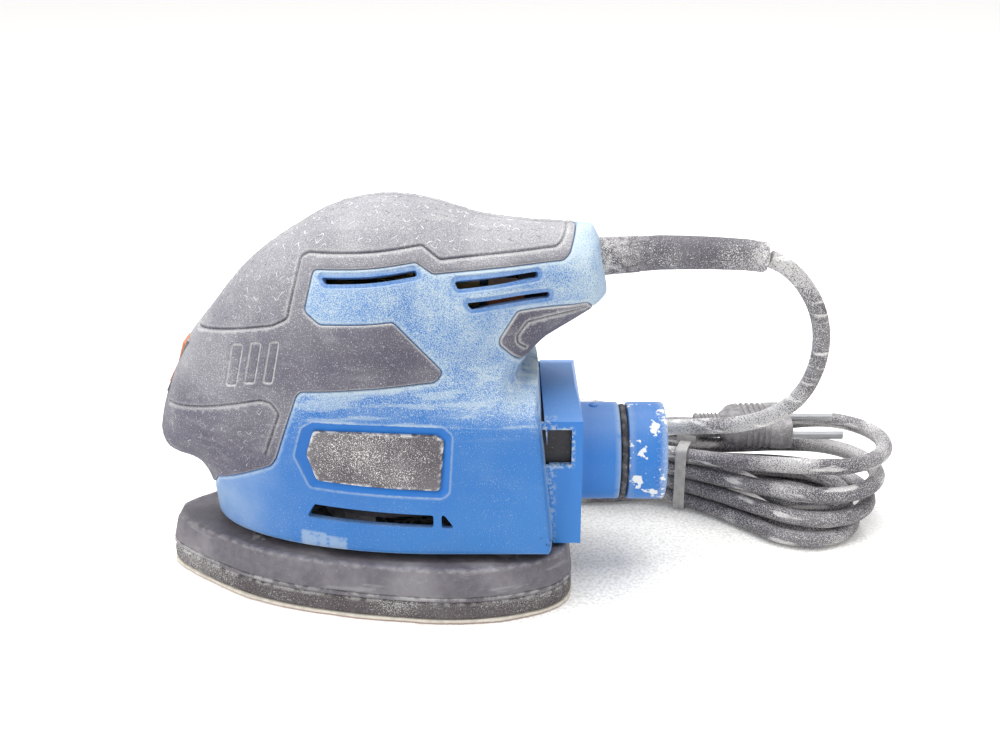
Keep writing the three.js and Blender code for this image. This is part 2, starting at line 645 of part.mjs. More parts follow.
const LEAD = [
  [128.1, 0, 110.5], [133.2, 0, 108], [138.5, 0, 103.4], [143.6, 0, 96.2], [146.8, 0.2, 88], [147.9, 1, 79],
  [147.2, 3, 70], [144.6, 6, 61], [140.2, 9.6, 53.6], [133.4, 13.6, 47.6], [124.5, 18.2, 43.2],
  [114.5, 22.8, 40.6], [104.5, 27.4, 38.4], [95, 32.5, 35.4], [86, 37.8, 31.4], [78.5, 42, 28.4],
];
const TAIL_END = [[88, 52.4, 28.1], [94, 50.6, 29], [100.5, 48.2, 30.6], [107, 46.6, 31.4], [112.7, 46, 31.5]];

function hankOutline() {
  const turn = THREE.MathUtils.degToRad(HANK_TURN);
  const right = arcPoints(HANK_FOLDS[1], 0, HANK_HALF, 13, -90, 90);
  const left = arcPoints(HANK_FOLDS[0], 0, HANK_HALF, 13, 90, 270);
  const waist = [[8, HANK_WAIST + 0.6], [-8, HANK_WAIST + 0.6]];
  const local = [...right, ...waist, ...left, ...waist.map(([s, t]) => [-s, -t])];
  return local.map(([s, t]) => [
    HANK_CENTRE[0] + s * Math.cos(turn) - t * Math.sin(turn),
    HANK_CENTRE[1] + s * Math.sin(turn) + t * Math.cos(turn),
  ]);
}

function atTie(solid) {
  return solid.rotate([0, 0, HANK_TURN]).translate([HANK_CENTRE[0], HANK_CENTRE[1], 0]);
}

function buildLead() {
  const relief = bentCone([
    [63.7, 111, 7.2], [65.5, 111, 7.2], [65.7, 111, 6.2], [79, 111.8, 6.1], [91, 112.6, 5.8], [109, 112.4, 5.4],
    [120, 111.8, 5.1], [127, 110.9, 4.9],
  ]);
  add('strain_relief', relief, SEAL);
  add('cord_clamp', box(44, 52, -9, 9, 106, 110).subtract(box(40, 56, -3.3, 3.3, 108.5, 112)), BLACK);
  add('suppressor', box(34, 46, -8, 8, 90.5, 101.5), ORANGE);
  add('cord_lead', tube(LEAD, CORD_R, 42), SEAL);
  add('cord_end', tube(TAIL_END, CORD_R, 8), SEAL);

  const hole = atTie(box(-3.6, 3.6, -60, 60, -5, 1.5)).add(atTie(box(-3.6, 3.6, -60, -HANK_WAIST, -5, 50)));
  const groove = hole.add(atTie(box(-3.6, 3.6, HANK_WAIST, 60, -5, 50)));
  add('cord_hank', slab(hankOutline(), 0.2, HANK_TOP).subtract(groove), SEAL);
  const outer = HANK_WAIST + 1.5;
  const strap = box(-3, 3, -outer, outer, 0.05, HANK_TOP + 1.5);
  const inner = HANK_WAIST + GAP;
  add('cable_tie', atTie(strap.subtract(box(-5, 5, -inner, inner, 1.2, HANK_TOP + GAP))), DARK);
}

const PLUG_AT = [113, 46, 31.5];
const PLUG_PIN_R = 2;

function buildPlug() {
  const sections = [
    [0, 4.2, 4.2], [9, 5, 4.6], [14, 10.5, 6], [24, 12.8, 6.6], [36, 12.8, 6.6],
  ];
  const positions = [];
  const triangles = [];
  const sides = 12;
  sections.forEach(([x, ry, rz], k) => {
    for (let i = 0; i < sides; i += 1) {
      const angle = 2 * Math.PI * i / sides;
      const round = (value) => Math.sign(value) * Math.abs(value) ** 0.6;
      positions.push(x, ry * round(Math.cos(angle)), rz * round(Math.sin(angle)));
      if (k > 0) {
        const j = (i + 1) % sides;
        const a = (k - 1) * sides;
        triangles.push(a + i, a + j, a + sides + j, a + i, a + sides + j, a + sides + i);
      }
    }
  });
  const last = (sections.length - 1) * sides;
  for (let i = 1; i < sides - 1; i += 1) triangles.push(0, i + 1, i, last, last + i, last + i + 1);
  const body = new wasm.Manifold(new wasm.Mesh({
    numProp: 3, vertProperties: new Float32Array(positions), triVerts: new Uint32Array(triangles),
  }));
  add('plug_body', body, DARK).position.set(...PLUG_AT);
  for (const [name, y] of [['plug_pin_1', -9], ['plug_pin_2', 9]]) {
    const pin = new THREE.CylinderGeometry(PLUG_PIN_R, PLUG_PIN_R, 19, 10).rotateZ(Math.PI / 2);
    const mesh = add(name, toSolid(pin.translate(36.3 + 9.5, y, 0)), STEEL);
    mesh.position.set(...PLUG_AT);
  }
}

buildHousing();
buildSoftCovers();
buildSwitch();
buildStator();
buildArmature();
buildBearings();
buildBrushes();
buildDrive();
buildBase();
buildDustPath();
buildLead();
buildPlug();

export default sander;
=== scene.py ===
"""Detail mouse sander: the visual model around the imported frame.

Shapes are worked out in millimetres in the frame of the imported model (X to the tail, Y away from the camera,
Z up) and turned into metres when a mesh is made.
"""
import math

import bmesh
import bpy
import numpy as np
from mathutils import Matrix, Vector
from mathutils.geometry import delaunay_2d_cdt
from mathutils.kdtree import KDTree


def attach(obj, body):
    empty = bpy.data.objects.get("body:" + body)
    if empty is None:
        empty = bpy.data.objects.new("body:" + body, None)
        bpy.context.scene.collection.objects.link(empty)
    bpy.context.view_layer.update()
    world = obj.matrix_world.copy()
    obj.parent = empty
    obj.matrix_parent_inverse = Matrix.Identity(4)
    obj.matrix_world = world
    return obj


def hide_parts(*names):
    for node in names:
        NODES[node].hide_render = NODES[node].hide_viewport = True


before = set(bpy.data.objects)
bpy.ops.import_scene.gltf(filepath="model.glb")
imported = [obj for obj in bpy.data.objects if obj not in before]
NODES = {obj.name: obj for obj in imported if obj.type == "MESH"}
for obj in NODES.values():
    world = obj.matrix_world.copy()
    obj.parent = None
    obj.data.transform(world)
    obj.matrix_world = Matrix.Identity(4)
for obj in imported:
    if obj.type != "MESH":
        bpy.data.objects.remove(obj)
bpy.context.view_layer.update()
MM = 0.001
TURN = 2 * math.pi
RNG = np.random.default_rng(11)

# ---------------------------------------------------------------- camera
scene = bpy.context.scene
scene.view_settings.view_transform = "Standard"
camera = bpy.data.objects.new("camera", bpy.data.cameras.new("camera"))
scene.collection.objects.link(camera)
camera.location = (0.038, -0.423, 0.2254)
camera.rotation_euler = (math.radians(90 - 20.28), 0, 0)
camera.data.lens = 47.12
camera.data.sensor_width = 36
camera.data.clip_start = 0.01
scene.camera = camera


# ---------------------------------------------------------------- small maths
def smooth(v, a, b):
    t = np.clip((v - a) / (b - a), 0, 1)
    return t * t * (3 - 2 * t)


def catmull(points, per_span):
    """A centripetal Catmull-Rom curve through the points."""
    p = np.array(points, float)
    p = np.vstack([2 * p[0] - p[1], p, 2 * p[-1] - p[-2]])
    out = []
    for i in range(1, len(p) - 2):
        knots = [0.0]
        for a, b in ((i - 1, i), (i, i + 1), (i + 1, i + 2)):
            knots.append(knots[-1] + max(np.linalg.norm(p[b] - p[a]), 1e-9) ** 0.5)
        t0, t1, t2, t3 = knots
        for t in np.linspace(t1, t2, per_span, endpoint=False):
            a1 = (t1 - t) / (t1 - t0) * p[i - 1] + (t - t0) / (t1 - t0) * p[i]
            a2 = (t2 - t) / (t2 - t1) * p[i] + (t - t1) / (t2 - t1) * p[i + 1]
            a3 = (t3 - t) / (t3 - t2) * p[i + 1] + (t - t2) / (t3 - t2) * p[i + 2]
            b1 = (t2 - t) / (t2 - t0) * a1 + (t - t0) / (t2 - t0) * a2
            b2 = (t3 - t) / (t3 - t1) * a2 + (t - t1) / (t3 - t1) * a3
            out.append((t2 - t) / (t2 - t1) * b1 + (t - t1) / (t2 - t1) * b2)
    out.append(p[-2])
    return np.array(out)


def run_along(points):
    """The way along a line at each of its points."""
    return np.concatenate([[0], np.cumsum(np.linalg.norm(np.diff(points, axis=0), axis=1))])


def at_ways(points, run, at):
    """Places on a line at given ways along it."""
    return np.column_stack([np.interp(at, run, points[:, k]) for k in range(points.shape[1])])


def resample(points, step):
    """Points at even distances along a line, ends kept."""
    p = np.asarray(points, float)
    run = run_along(p)
    return at_ways(p, run, np.linspace(0, run[-1], max(2, int(round(run[-1] / step)) + 1)))


def circle(centre, radius, count=28):
    a = np.linspace(0, TURN, count, endpoint=False)
    return np.column_stack([centre[0] + radius * np.cos(a), centre[1] + radius * np.sin(a)])


def unit(vectors):
    return vectors / (np.linalg.norm(vectors, axis=1)[:, None] + 1e-9)


def near(d, width):
    """1 at a distance of zero, fading to 0 past the width."""
    return np.exp(-(d / width) ** 2)


def filleted(points, radius, closed=True, steps=5):
    """An outline with its corners rounded."""
    p = [np.array(q, float) for q in points]
    out = []
    for i, b in enumerate(p):
        if not closed and i in (0, len(p) - 1):
            out.append(b)
            continue
        a, c = p[i - 1], p[(i + 1) % len(p)]
        ba, bc = (a - b), (c - b)
        la, lc = np.linalg.norm(ba), np.linalg.norm(bc)
        half = math.acos(np.clip(ba @ bc / (la * lc), -1, 1)) / 2
        cut = min(radius / max(math.tan(half), 1e-3), la * 0.45, lc * 0.45)
        s, e = b + ba / la * cut, b + bc / lc * cut
        for t in np.linspace(0, 1, steps + 1):
            out.append((1 - t) ** 2 * s + 2 * t * (1 - t) * b + t * t * e)
    return np.array(out)


def line_distance(line, x, z, closed=False):
    line = np.asarray(line, float)
    ends = np.vstack([line, line[:1]]) if closed else line
    best = np.full(np.shape(x), 1e9)
    for (ax, az), (bx, bz) in zip(ends[:-1], ends[1:]):
        ux, uz = bx - ax, bz - az
        t = np.clip(((x - ax) * ux + (z - az) * uz) / (ux * ux + uz * uz + 1e-12), 0, 1)
        best = np.minimum(best, (x - ax - t * ux) ** 2 + (z - az - t * uz) ** 2)
    return np.sqrt(best)


def inside(outline, x, z):
    outline = np.asarray(outline, float)
    hit = np.zeros(np.shape(x), bool)
    for (ax, az), (bx, bz) in zip(np.roll(outline, 1, axis=0), outline):
        if az == bz:
            continue
        hit ^= ((az > z) != (bz > z)) & (x < (bx - ax) * (z - az) / (bz - az) + ax)
    return hit


def signed(outline, x, z):
    """Distance to a closed outline, positive inside it."""
    return np.where(inside(outline, x, z), 1, -1) * line_distance(outline, x, z, closed=True)


# ---------------------------------------------------------------- meshes
def shade(mesh, crease):
    """Smooth shading, with sharp edges where faces meet at more than the angle in degrees."""
    mesh.shade_smooth()
    mesh.set_sharp_from_angle(angle=math.radians(crease))


def new_object(name, verts_mm, faces, crease=35.0):
    mesh = bpy.data.meshes.new(name)
    mesh.from_pydata((np.asarray(verts_mm, float) * MM).tolist(), [], [list(map(int, f)) for f in faces])
    mesh.validate()
    obj = bpy.data.objects.new(name, mesh)
    scene.collection.objects.link(obj)
    if crease:
        shade(mesh, crease)
    return obj


def places(obj):
    """An object's vertices in millimetres."""
    return np.array([tuple(v.co) for v in obj.data.vertices]) / MM


def colour_mask(obj, wear=0.0, groove=0.0, region=0.0):
    """Point attribute the materials read: red is edge wear, green is painted shade in grooves and creases, blue is a
    region.
    """
    data = np.ones((len(obj.data.vertices), 4), np.float32)
    for k, value in enumerate((wear, groove, region)):
        data[:, k] = value
    layer = obj.data.color_attributes.new("mask", "FLOAT_COLOR", "POINT")
    layer.data.foreach_set("color", data.ravel())


def apply_modifiers(obj):
    depsgraph = bpy.context.evaluated_depsgraph_get()
    mesh = bpy.data.meshes.new_from_object(obj.evaluated_get(depsgraph))
    obj.modifiers.clear()
    obj.data = mesh


def join_parts(name, parts, crease=35.0):
    """One object from several (verts, faces) lists."""
    verts, faces = [], []
    for v, f in parts:
        faces.extend([[i + len(verts) for i in face] for face in f])
        verts.extend(np.asarray(v, float).tolist())
    return new_object(name, verts, faces, crease)


def lathe(profile, axis="x", centre=(0, 0, 0), sides=64):
    """A closed profile of (along, radius) turned about an axis through the centre."""
    verts, faces = [], []
    n = len(profile)
    for k in range(sides):
        a = TURN * k / sides
        for along, r in profile:
            u, v = r * math.cos(a), r * math.sin(a)
            p = (along, u, v) if axis == "x" else (u, v, along)
            verts.append([p[i] + centre[i] for i in range(3)])
        m = (k + 1) % sides
        for i in range(n):
            j = (i + 1) % n
            faces.append([k * n + i, k * n + j, m * n + j, m * n + i])
    if axis == "x":
        faces = [f[::-1] for f in faces]
    return verts, faces


def refined(profile, step=1.6):
    """A closed profile with extra points along its longer edges."""
    out = []
    for (xa, ra), (xb, rb) in zip(profile, profile[1:] + profile[:1]):
        count = max(1, int(math.hypot(xb - xa, rb - ra) / step))
        out += [(xa + (xb - xa) * k / count, ra + (rb - ra) * k / count) for k in range(count)]
    return out


def band_faces(rings, n):
    """Quads between rings of n points each."""
    return [[k * n + i, k * n + (i + 1) % n, (k + 1) * n + (i + 1) % n, (k + 1) * n + i]
            for k in range(rings - 1) for i in range(n)]


def loop_loft(loops, capped=True):
    """Rings of equal length, joined in order."""
    n = len(loops[0])
    faces = band_faces(len(loops), n)
    if capped:
        last = (len(loops) - 1) * n
        faces += [list(range(n))[::-1], [last + i for i in range(n)]]
    return [p for loop in loops for p in loop], faces


def prism(points, axis, low, high):
    """A solid with an outline in the plane across the given axis: 'y' takes (x, z), 'x' takes (y, z)."""
    verts = []
    for along in (low, high):
        verts += [(a, along, b) if axis == "y" else (along, a, b) for a, b in points]
    n = len(points)
    faces = [list(range(n))[::-1], [n + i for i in range(n)]] + band_faces(2, n)
    mesh = bpy.data.meshes.new("tool")
    mesh.from_pydata((np.array(verts) * MM).tolist(), [], faces)
    obj = bpy.data.objects.new("tool", mesh)
    scene.collection.objects.link(obj)
    bm = bmesh.new()
    bm.from_mesh(mesh)
    bmesh.ops.recalc_face_normals(bm, faces=bm.faces)
    bm.to_mesh(mesh)
    bm.free()
    return obj


def combine(target, tool, operation="DIFFERENCE"):
    mod = target.modifiers.new("cut", "BOOLEAN")
    mod.operation = operation
    mod.solver = "EXACT"
    mod.object = tool
    apply_modifiers(target)
    bpy.data.objects.remove(tool)


# ---------------------------------------------------------------- materials
class Shader:
    """A principled material built from a few node helpers."""

    def __init__(self, name):
        self.mat = bpy.data.materials.new(name)
        self.mat.use_nodes = True
        self.tree = self.mat.node_tree
        self.tree.nodes.clear()
        self.out = self.tree.nodes.new("ShaderNodeOutputMaterial")
        self.bsdf = self.tree.nodes.new("ShaderNodeBsdfPrincipled")
        self.tree.links.new(self.bsdf.outputs[0], self.out.inputs[0])
        self.coords = self.tree.nodes.new("ShaderNodeTexCoord").outputs["Object"]

    def put(self, socket, value):
        if isinstance(value, bpy.types.NodeSocket):
            self.tree.links.new(value, socket)
        elif isinstance(value, (tuple, list)) and len(value) == 3 and len(socket.default_value) == 4:
            socket.default_value = (*value, 1)
        else:
            socket.default_value = value

    def calc(self, op, a, b=0.0, clamp=False):
        node = self.tree.nodes.new("ShaderNodeMath")
        node.operation = op
        node.use_clamp = clamp
        self.put(node.inputs[0], a)
        self.put(node.inputs[1], b)
        return node.outputs[0]

    def total(self, *terms):
        out = terms[0]
        for term in terms[1:]:
            out = self.calc("ADD", out, term)
        return self.calc("ADD", out, 0.0, clamp=True)

    def times(self, a, b):
        return self.calc("MULTIPLY", a, b)

    def ramp(self, value, a, b, low=0.0, high=1.0):
        node = self.tree.nodes.new("ShaderNodeMapRange")
        node.interpolation_type = "SMOOTHSTEP"
        for k, v in enumerate((value, a, b, low, high)):
            self.put(node.inputs[k], v)
        return node.outputs[0]

    def stretched(self, scale):
        node = self.tree.nodes.new("ShaderNodeMapping")
        self.put(node.inputs["Vector"], self.coords)
        node.inputs["Scale"].default_value = scale
        return node.outputs[0]

    def noise(self, per_metre, detail=2.0, stretch=None, rough=0.5):
        node = self.tree.nodes.new("ShaderNodeTexNoise")
        self.put(node.inputs["Vector"], self.stretched(stretch) if stretch else self.coords)
        node.inputs["Scale"].default_value = per_metre
        node.inputs["Detail"].default_value = detail
        node.inputs["Roughness"].default_value = rough
        return node.outputs["Fac"]

    def past(self, value, middle, half):
        """How far a value lies outside a range, or 0 inside it."""
        off = self.calc("ABSOLUTE", self.calc("SUBTRACT", value, middle))
        return self.calc("MAXIMUM", self.calc("SUBTRACT", off, half), 0.0)

    def mix(self, factor, a, b):
        node = self.tree.nodes.new("ShaderNodeMix")
        node.data_type = "RGBA"
        self.put(node.inputs[0], factor)
        self.put(node.inputs[6], a)
        self.put(node.inputs[7], b)
        return node.outputs[2]

    def place(self, k):
        node = self.tree.nodes.new("ShaderNodeSeparateXYZ")
        self.put(node.inputs[0], self.coords)
        return node.outputs[k]

    def facing_up(self):
        geo = self.tree.nodes.new("ShaderNodeNewGeometry")
        node = self.tree.nodes.new("ShaderNodeSeparateXYZ")
        self.put(node.inputs[0], geo.outputs["Normal"])
        return node.outputs[2]

    def mask(self, k):
        node = self.tree.nodes.new("ShaderNodeAttribute")
        node.attribute_name = "mask"
        split = self.tree.nodes.new("ShaderNodeSeparateColor")
        self.put(split.inputs[0], node.outputs["Color"])
        return split.outputs[k]

    def specks(self, dusty, per_metre=1500.0, soft=0.05):
        """White dust dots: more of the fine noise passes where the surface is dustier."""
        grain = self.noise(per_metre * 2.4, 1.5, rough=0.7)
        limit = self.ramp(dusty, 0.0, 1.0, 0.74, 0.40)
        return self.ramp(grain, self.calc("SUBTRACT", limit, soft), self.calc("ADD", limit, soft))

    def bump(self, height, strength, distance_mm):
        node = self.tree.nodes.new("ShaderNodeBump")
        node.inputs["Strength"].default_value = strength
        node.inputs["Distance"].default_value = distance_mm * MM
        self.put(node.inputs["Height"], height)
        self.put(self.bsdf.inputs["Normal"], node.outputs[0])

    def finish(self, colour, rough, metal=0.0, specular=0.5):
        self.put(self.bsdf.inputs["Base Color"], colour)
        self.put(self.bsdf.inputs["Roughness"], rough)
        self.bsdf.inputs["Metallic"].default_value = metal
        self.bsdf.inputs["Specular IOR Level"].default_value = specular
        return self.mat


DUST = (0.43, 0.51, 0.55)
CHIP_WHITE = (0.66, 0.68, 0.69)
WINDOW_MIDDLE = (0.0572, 0.0548)        # X and Z of the adapter's side window, in metres
WINDOW_HALF = (0.0043, 0.0063)


def window_scuffs(s, height):
    """Wear around the adapter's side windows and on the edge in front of them."""
    dx = s.past(s.place(0), WINDOW_MIDDLE[0], WINDOW_HALF[0])
    dz = s.past(height, WINDOW_MIDDLE[1], WINDOW_HALF[1])
    rim_gap = s.calc("SQRT", s.calc("ADD", s.times(dx, dx), s.times(dz, dz)))
    outside = s.ramp(s.calc("ABSOLUTE", s.place(1)), 0.0265, 0.0275)
    scuff = s.times(s.ramp(rim_gap, 0.0015, 0.0003), s.ramp(s.noise(600, 3), 0.46, 0.56))
    front = s.times(s.ramp(s.place(0), 0.0572, 0.0553), s.ramp(s.noise(700, 3), 0.47, 0.58))
    return s.times(s.total(scuff, s.times(front, 0.6)), outside)


def blue_plastic(name, upper_dust, chips=0.0, dots=0.0, window=False, gain=1.0):
    """Blue plastic: cleaner low down, dusty above, with more dust and a painted highlight on what faces up, less dust
    and a painted shade in the grooves.
    """
    s = Shader(name)
    height = s.place(2)
    up = s.ramp(s.facing_up(), 0.1, 0.9)
    body = s.ramp(height, 0.054, 0.082, 0.0, upper_dust)
    wiped = s.times(s.ramp(s.noise(26, 2), 0.42, 0.62), s.ramp(height, 0.062, 0.1))
    tail = s.times(s.ramp(s.place(0), 0.050, 0.066), s.ramp(height, 0.080, 0.092))
    nose = s.times(s.ramp(s.place(0), -0.030, -0.056), s.ramp(height, 0.068, 0.055))
    patch = s.times(s.ramp(s.noise(45, 3), 0.45, 0.75), 0.24 * upper_dust)
    dusty = s.total(dots, body, s.times(up, 0.40 * upper_dust), patch,
                    s.times(wiped, 0.25 * upper_dust), s.times(tail, 0.16))
    streak_zone = s.times(s.ramp(height, 0.060, 0.066), s.ramp(height, 0.088, 0.078))
    streaks = s.times(s.ramp(s.noise(260, 3, stretch=(0.16, 1, 1.5)), 0.5, 0.62), streak_zone)
    fine = s.specks(dusty, 1500)
    film = s.times(s.ramp(s.noise(140, 3), 0.3, 0.75), s.ramp(dusty, 0.1, 0.8, 0.0, 0.5))
    band = s.mask(2)
    clean = s.calc("SUBTRACT", 1.0, s.total(band, s.times(s.mask(1), 0.75)), clamp=True)
    haze = s.times(s.ramp(s.noise(70, 3), 0.2, 0.7, 0.5, 1.0), nose)
    # painted highlight: the up term lightens what faces up toward the dust colour, partly settled dust and partly
    # light; it carries into the dust mix below
    dust_and_highlight = s.total(s.times(fine, 0.78), s.times(film, 0.6), s.times(streaks, 0.9 * upper_dust),
                      s.times(haze, 0.40), s.times(up, 0.16))
    dust = s.times(dust_and_highlight, clean)
    edge = s.times(s.mask(0), s.ramp(s.noise(420, 2), 0.15, 0.5))
    if window:
        edge = s.total(edge, window_scuffs(s, height))
    tone = s.mix(s.ramp(s.noise(18, 2), 0.3, 0.7), tuple(c * gain for c in (0.018, 0.130, 0.400)),
                 tuple(c * gain for c in (0.024, 0.152, 0.430)))
    tone = s.mix(s.times(band, 0.85), tone, (0.006, 0.125, 0.440))
    # painted shade: the blue is darkened along the groove at the rubber's border
    tone = s.mix(s.times(s.mask(1), 0.55), tone, (0.007, 0.035, 0.150))
    colour = s.mix(s.total(dust, s.times(edge, 0.75)), tone, DUST)
    if chips:
        flake = s.ramp(s.calc("ADD", s.noise(170, 4, rough=0.65), s.times(band, 0.085)), 0.615, 0.63)
        scraped = s.times(s.specks(s.times(band, 0.45)), 0.8)
        chipped = s.times(s.total(flake, scraped), s.ramp(band, 0.0, 0.1, 0.0, chips))
        colour = s.mix(chipped, colour, CHIP_WHITE)
    s.bump(s.total(s.noise(900, 2), s.times(fine, 0.4)), 0.25, 0.12)
    return s.finish(colour, s.ramp(dust, 0.0, 0.7, 0.42, 0.8), specular=0.35)


def rubber(name, tone, film_and_top_highlight, dots, ticks=0.0):
    """Dark rubber with a dust film and a painted highlight on what faces up, a painted sheen on the upper nose,
    painted shade in the grooves, fine dots and pale edges.
    """
    s = Shader(name)
    up = s.ramp(s.facing_up(), 0.0, 0.95)
    film = s.ramp(s.noise(55, 3), 0.35, 0.75)
    wipe = s.ramp(s.noise(220, 3, stretch=(0.25, 1, 1.3)), 0.52, 0.7)
    base = s.mix(s.ramp(s.noise(30, 2), 0.3, 0.7), tone, tuple(c * 1.14 for c in tone))
    # painted shade: darker in the grooves and slots
    base = s.mix(s.times(s.mask(1), 0.8), base, tuple(c * 0.30 for c in tone))
    # painted sheen: the upper nose is lightened toward grey as if lit; the haze also lightens what faces up, partly a
    # painted highlight and partly the dust film
    sheen = s.times(s.ramp(s.place(0), -0.056, -0.072), s.ramp(s.place(2), 0.066, 0.088))
    haze = s.total(s.times(up, film_and_top_highlight), s.times(film, film_and_top_highlight * 0.30), s.times(wipe, 0.13),
                   s.times(s.times(sheen, s.ramp(s.noise(80, 3), 0.3, 0.6, 0.4, 1.0)), 0.38))
    colour = s.mix(haze, base, (0.40, 0.40, 0.41))
    fine = s.specks(s.total(dots, s.times(up, 0.16), s.times(film, 0.06)), 1250)
    edge = s.times(s.mask(0), s.ramp(s.noise(500, 2), 0.12, 0.48))
    light = s.total(s.times(fine, 0.6), s.times(edge, 0.8))
    if ticks:
        tip = s.times(s.mask(2), s.ramp(s.noise(330, 3), 0.36, 0.62))
        colour = s.mix(s.times(tip, ticks), colour, (0.86, 0.87, 0.88))
    colour = s.mix(light, colour, (0.56, 0.56, 0.56))
    s.bump(s.total(s.noise(1400, 2), s.times(s.noise(420, 2), 0.4)), 0.3, 0.1)
    return s.finish(colour, 0.72, specular=0.3)


def dusty_plain(name, tone, dots, rough=0.6, film=0.2, grain=900.0, bump=0.2, edge_white=0.8, scuff=0.0,
                white=(0.58, 0.57, 0.56)):
    """Plain plastic, foam or paper with dust dots, a film, light edges and painted shade in grooves."""
    s = Shader(name)
    haze = s.times(s.ramp(s.noise(60, 3), 0.35, 0.75), film)
    base = s.mix(s.ramp(s.noise(grain * 0.5, 2), 0.3, 0.7), tuple(c * 0.88 for c in tone),
                 tuple(min(1, c * 1.1) for c in tone))
    # painted shade: darker where the mask's green marks a groove
    base = s.mix(s.times(s.mask(1), 0.85), base, tuple(c * 0.35 for c in tone))
    colour = s.mix(haze, base, (0.40, 0.39, 0.40))
    fine = s.specks(s.total(dots, s.times(s.ramp(s.noise(35, 2), 0.4, 0.7), dots * 0.8)), 1300)
    edge = s.times(s.mask(0), s.ramp(s.noise(380, 3), 0.4, 0.62))
    light = s.total(s.times(fine, 0.7), s.times(edge, edge_white))
    if scuff:
        rub = s.ramp(s.noise(210, 4, stretch=(0.3, 0.3, 1.8)), 0.56, 0.66)
        light = s.total(light, s.times(rub, scuff))
    colour = s.mix(light, colour, white)
    s.bump(s.noise(grain, 2), bump, 0.15)
    return s.finish(colour, rough, specular=0.3)


def metal(name, tone, rough, worn=0.15):
    s = Shader(name)
    brushed = s.noise(900, 2, stretch=(0.2, 1, 1))
    colour = s.mix(s.ramp(s.noise(120, 3), 0.35, 0.7, 0.0, worn), tone, tuple(c * 0.45 for c in tone))
    s.bump(brushed, 0.12, 0.03)
    return s.finish(colour, s.ramp(brushed, 0.3, 0.7, rough * 0.8, rough * 1.25), metal=1.0)


BLUE = blue_plastic("blue_plastic", 0.38, dots=0.20)
BLUE_ADAPTER = blue_plastic("blue_adapter", 0.02, chips=1.0, dots=0.14, window=True, gain=1.22)
GRIP = rubber("grip_rubber", (0.080, 0.075, 0.104), 0.46, 0.34)
TEXTURED = rubber("grip_texture", (0.105, 0.100, 0.125), 0.50, 0.10, ticks=0.80)
PLATE = dusty_plain("side_plate", (0.082, 0.072, 0.083), 0.27, rough=0.5, white=(0.95, 0.93, 0.90))
BASE_PLASTIC = dusty_plain("base_plastic", (0.112, 0.102, 0.120), 0.10, rough=0.5, film=0.26, scuff=0.14)
FOAM = dusty_plain("pad_foam", (0.080, 0.069, 0.073), 0.33, rough=0.95, film=0.10, grain=1600, bump=0.9)
PAPER = dusty_plain("abrasive_paper", (0.60, 0.56, 0.49), 0.05, rough=0.9, film=0.05, bump=0.3)
GRIT = dusty_plain("abrasive_grit", (0.40, 0.17, 0.12), 0.12, rough=0.9, film=0.05, grain=2400, bump=0.9)
SCUFF_WHITE = (0.70, 0.69, 0.68)
CORD = dusty_plain("cord_rubber", (0.078, 0.072, 0.086), 0.46, rough=0.6, film=0.22, scuff=0.60, white=SCUFF_WHITE)
RELIEF = dusty_plain("relief_rubber", (0.090, 0.084, 0.100), 0.34, rough=0.65, film=0.16, white=SCUFF_WHITE)
PLUG = dusty_plain("plug_plastic", (0.165, 0.158, 0.165), 0.30, rough=0.6, film=0.30)
CLEAR_TIE = dusty_plain("tie_plastic", (0.36, 0.35, 0.34), 0.25, rough=0.4, film=0.30)
BLACK = dusty_plain("black_plastic", (0.022, 0.021, 0.026), 0.06, rough=0.5, film=0.04)
SEAL = dusty_plain("seal_rubber", (0.030, 0.027, 0.030), 0.22, rough=0.7, film=0.10)
ORANGE = dusty_plain("switch_orange", (0.60, 0.19, 0.07), 0.25, rough=0.5, film=0.30)
STEEL = metal("steel", (0.62, 0.63, 0.65), 0.32)
IRON = metal("iron", (0.28, 0.28, 0.30), 0.5, 0.3)
COPPER = metal("copper_wire", (0.72, 0.36, 0.17), 0.4, 0.25)
BRASS = metal("brass", (0.78, 0.60, 0.28), 0.35, 0.2)
CARBON = dusty_plain("carbon", (0.04, 0.04, 0.04), 0.05, rough=0.8, film=0.02)


def dress(obj, material, body, slot, *replaced):
    """Gives a piece its material and its body, and hides the CAD nodes that it stands for. The slot is not used."""
    obj.data.materials.clear()
    obj.data.materials.append(material)
    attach(obj, body)
    if replaced:
        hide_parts(*replaced)


# ---------------------------------------------------------------- mains lead, folded and tied
LEAD = [                                # from the strain relief down to the hank
    (128.1, 0, 110.5), (133.2, 0, 108), (138.5, 0, 103.4), (143.6, 0, 96.2), (146.8, 0.2, 88), (147.9, 1, 79),
    (147.2, 3, 70), (144.6, 6, 61), (140.2, 9.6, 53.6), (133.4, 13.6, 47.6), (124.5, 18.2, 43.2),
    (114.5, 22.8, 40.6), (104.5, 27.4, 38.4), (95, 32.5, 35.4), (86, 37.8, 31.4), (78.5, 42, 28.4)]
TAIL_END = [(88, 52.4, 28.1), (94, 50.6, 29), (100.5, 48.2, 30.6), (107, 46.6, 31.4), (112.7, 46, 31.5)]
PLUG_AT = (113, 46, 31.5)
CORD_R = 3.0
HANK_CENTRE = (106, 54)
HANK_LEAN = math.radians(-20)
LEFT_FOLD, RIGHT_FOLD = -36.0, 54.0     # where the folds' centres lie along the hank
OUTER_FOLD, INNER_FOLD, LAST_FOLD = 24.0, 18.0, 17.0
OUTER_WAIST, INNER_WAIST = 13.0, 6.6    # half the gap between the runs, under the tie
LAYERS = (3.2, 9.4, 15.5, 21.6)         # heights of the layers
REACH = (-5.0, -1.0, 1.0, 2.5)          # how much farther each layer's right fold lies
RISE = (0.0, 0.6, 2.6, 6.0)             # how far that fold springs up
FAN = (-9.0, -4.5, -0.5, 4.0)           # how far each layer is swung at the right, degrees
